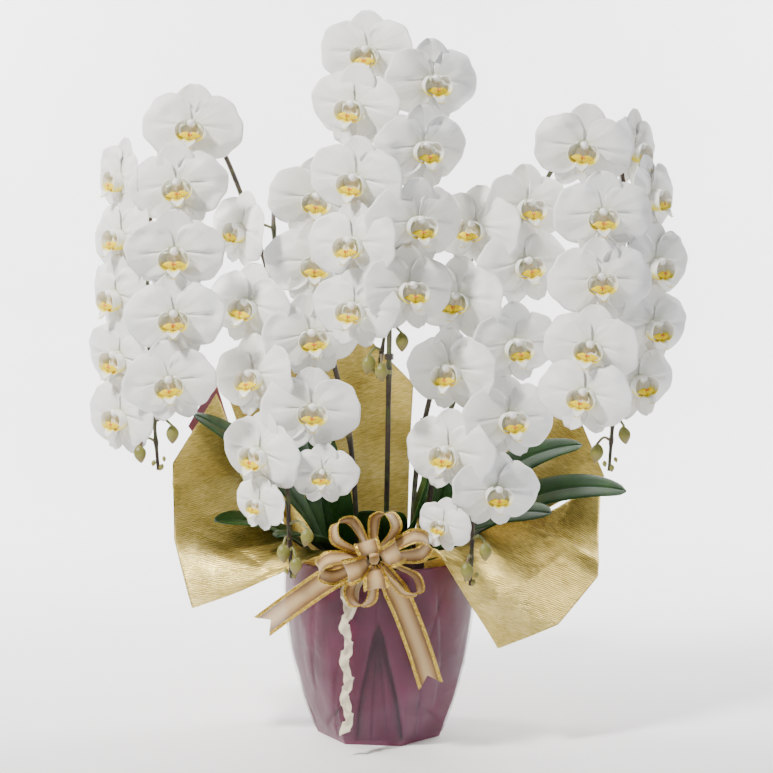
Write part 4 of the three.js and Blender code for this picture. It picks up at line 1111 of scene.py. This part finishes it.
knot = np.array(bow["knot"], float)
for i, (turn, reach, bulge, roll) in enumerate(ringLoops):
    a = math.radians(turn)
    out = np.array([math.cos(a), 0, math.sin(a)])
    wide = rotated(np.array([0, 1.0, 0]), out, math.radians(roll))
    path = loopPath(knot + out * 9, out, wide, reach, bulge)
    grid = ribbonGrid(path, wide, loopWidth, 13, 500 + i)
    makeRibbon(f"ribbon_loop_{i + 1}", grid, f"bow_loop_{i + 1}")
for i, (turn, tilt, reach, bulge) in enumerate(faceLoops):
    a, b = math.radians(turn), math.radians(tilt)
    flat = np.array([math.cos(a), 0, math.sin(a)])
    out = flat * math.cos(b) + np.array([0, -math.sin(b), 0])
    wide = np.array([-flat[2], 0, flat[0]])
    path = loopPath(knot + np.array([0, -bow["width"] / 2 - 3, 0]) + flat * 9, out, wide, reach, bulge)
    grid = ribbonGrid(path, wide, loopWidth, 13, 520 + i)
    makeRibbon(f"ribbon_loop_{i + 7}", grid, f"bow_loop_{i + 7}")

sides, band = 26, []
for i in range(13):
    y = -bow["width"] / 2 + bow["width"] * i / 12
    pinch = 1 - 0.16 * math.sin(math.pi * i / 12) - (0.25 if i in (0, 12) else 0)
    for j in range(sides):
        a = 2 * math.pi * j / sides
        r = bow["knotRadius"] * pinch * (1 + 0.06 * math.sin(5 * a + i))
        band.append([knot[0] + r * math.cos(a), knot[1] + y, knot[2] + r * math.sin(a)])
makePiece("knot_band", [ringSurface(band, sides)], ["knot"], ["bow_knot"])


def notched(grid, depth):
    # pulls the last rows back to a V between the two points of the tail
    rows = len(grid)
    out = grid.copy()
    steps = np.linalg.norm(np.diff(grid, axis=0), axis=2).mean()
    for i in range(rows):
        for j in range(grid.shape[1]):
            u = abs(2 * j / (grid.shape[1] - 1) - 1)
            back = depth * (1 - u) * (i / (rows - 1)) / steps
            at = max(i - back, 0)
            low = int(at)
            high = min(low + 1, rows - 1)
            out[i, j] = grid[low, j] * (1 - at + low) + grid[high, j] * (at - low)
    return out


tails = {
    "ribbon_tail_left": [(-14, -116.5, 222), (-50, -118.5, 208), (-92, -108.5, 178), (-132, -98, 146)],
    "ribbon_tail_right": [(2, -116.5, 218), (22, -117.5, 182), (42, -116.5, 130), (57, -112.5, 82)],
}
for i, (node, points) in enumerate(tails.items()):
    path = splineMany(points, 64)
    grid = ribbonGrid(path, lambda i, t: np.cross(t, [0, 1.0, 0]), lambda t: bow["width"] * min(0.5 + 2 * t, 1),
                      13, 540 + i, 0.5, 0.04)
    makeRibbon(node + "_organza", notched(grid, bow["width"] * 0.45), node)

streamer = {"width": 13, "twist": 0.26, "thick": 0.6, "strandWidth": 6.5, "strandTwist": 0.2}
points = [(-18, -119.5, 214)]
for i in range(9):
    swing = 1 if i % 2 else -1
    points.append((-37 + 2.5 * swing, -119.5 + swing + i * 0.5, 192 - i * 20.5))
twist = streamer["twist"]
grid = ribbonGrid(splineMany(points, 220),
                  lambda i, t: np.array([1.0, 0.9 * math.sin(i * twist), 0.35 * math.sin(i * twist + 1)]),
                  lambda t: streamer["width"] * min(0.4 + 4 * t, 1) * (0.9 + 0.1 * math.sin(t * 40)),
                  9, 560, 1.0, 0.1)
flat = gridSize(grid)
path = splineMany([(-10, -121, 214), (-24, -123, 196), (-27, -123.5, 176), (-33, -122.5, 160)], 60)
strand = ribbonGrid(path, lambda i, t: np.array([1.0, 0.5 * math.sin(i * streamer["strandTwist"]), 0]),
                    lambda t: streamer["strandWidth"] - 1.5 * t, 5, 561, 0.4, 0.1)
parts = [shell(grid, streamer["thick"]), shell(strand, streamer["thick"])]
piece = makePiece("crinkled_streamer", parts, ["cream"], ["paper_streamer"])
print("bow ready")

for index in range(1, 6):
    for k in (1, 2):
        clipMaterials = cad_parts[f"clip_{index}_{k}"].data.materials
        clipMaterials.clear()
        clipMaterials.append(finish["clip"])


floorMesh = bpy.data.meshes.new("floor")
# depth and height of a floor that sweeps up behind, in metres
sweep = [(-3.0, 0), (1.2, 0), (1.6, 0.03), (1.85, 0.14), (2.0, 0.35), (2.05, 0.7), (2.05, 3.2)]
floorVerts = [(x, y, z) for y, z in sweep for x in (-4, 4)]
floorFaces = [(2 * i, 2 * i + 1, 2 * i + 3, 2 * i + 2) for i in range(len(sweep) - 1)]
floorMesh.from_pydata(floorVerts, [], floorFaces)
floorMesh.shade_smooth()
floorMesh.materials.append(finish["floor"])
floor = bpy.data.objects.new("floor", floorMesh)
bpy.context.collection.objects.link(floor)

world = bpy.data.worlds.new("softWorld")
bpy.context.scene.world = world
world.use_nodes = True
background = world.node_tree.nodes["Background"]
background.inputs["Color"].default_value = (1, 1, 1, 1)
background.inputs["Strength"].default_value = 0.14


def aimed(obj, place, target):
    direction = np.array(target, float) - np.array(place, float)
    obj.location = place
    yaw = math.atan2(-direction[0], direction[1])
    pitch = math.atan2(direction[2], math.hypot(direction[0], direction[1]))
    obj.rotation_euler = (math.pi / 2 + pitch, 0, yaw)


lights = {     # place, target, size, power, colour
    "keyLight": ((-1.3, -1.25, 2.3), (0, 0, 0.4), 0.3, 116, (1, 0.98, 0.94)),
    "fillLight": ((1.7, -1.9, 1.0), (0, 0, 0.4), 0.8, 13, (0.88, 0.93, 1)),
    "backLight": ((0.4, 1.3, 1.9), (0, 0, 0.5), 1.2, 7, (1, 1, 1)),
    "sweepLeft": ((-1.5, 0.9, 1.5), (-0.6, 2.05, 0.6), 1.0, 90, (1, 1, 1)),
    "sweepRight": ((1.5, 0.9, 1.5), (0.6, 2.05, 0.6), 1.0, 90, (1, 1, 1)),
}
for name, (place, target, size, power, colour) in lights.items():
    light = bpy.data.lights.new(name, "AREA")
    light.shape, light.size, light.energy, light.color = "SQUARE", size, power, colour
    lamp = bpy.data.objects.new(name, light)
    bpy.context.collection.objects.link(lamp)
    aimed(lamp, place, target)

view = {"sensor": 36, "lens": 101.9, "place": (0.0075, -2.5, 0.70), "target": (0.0075, 0, 0.405)}
camera = bpy.data.cameras.new("camera")
camera.sensor_width, camera.lens = view["sensor"], view["lens"]
camera.clip_start, camera.clip_end = 0.1, 20
cameraObject = bpy.data.objects.new("camera", camera)
bpy.context.collection.objects.link(cameraObject)
aimed(cameraObject, view["place"], view["target"])
bpy.context.scene.camera = cameraObject
print("stage ready")
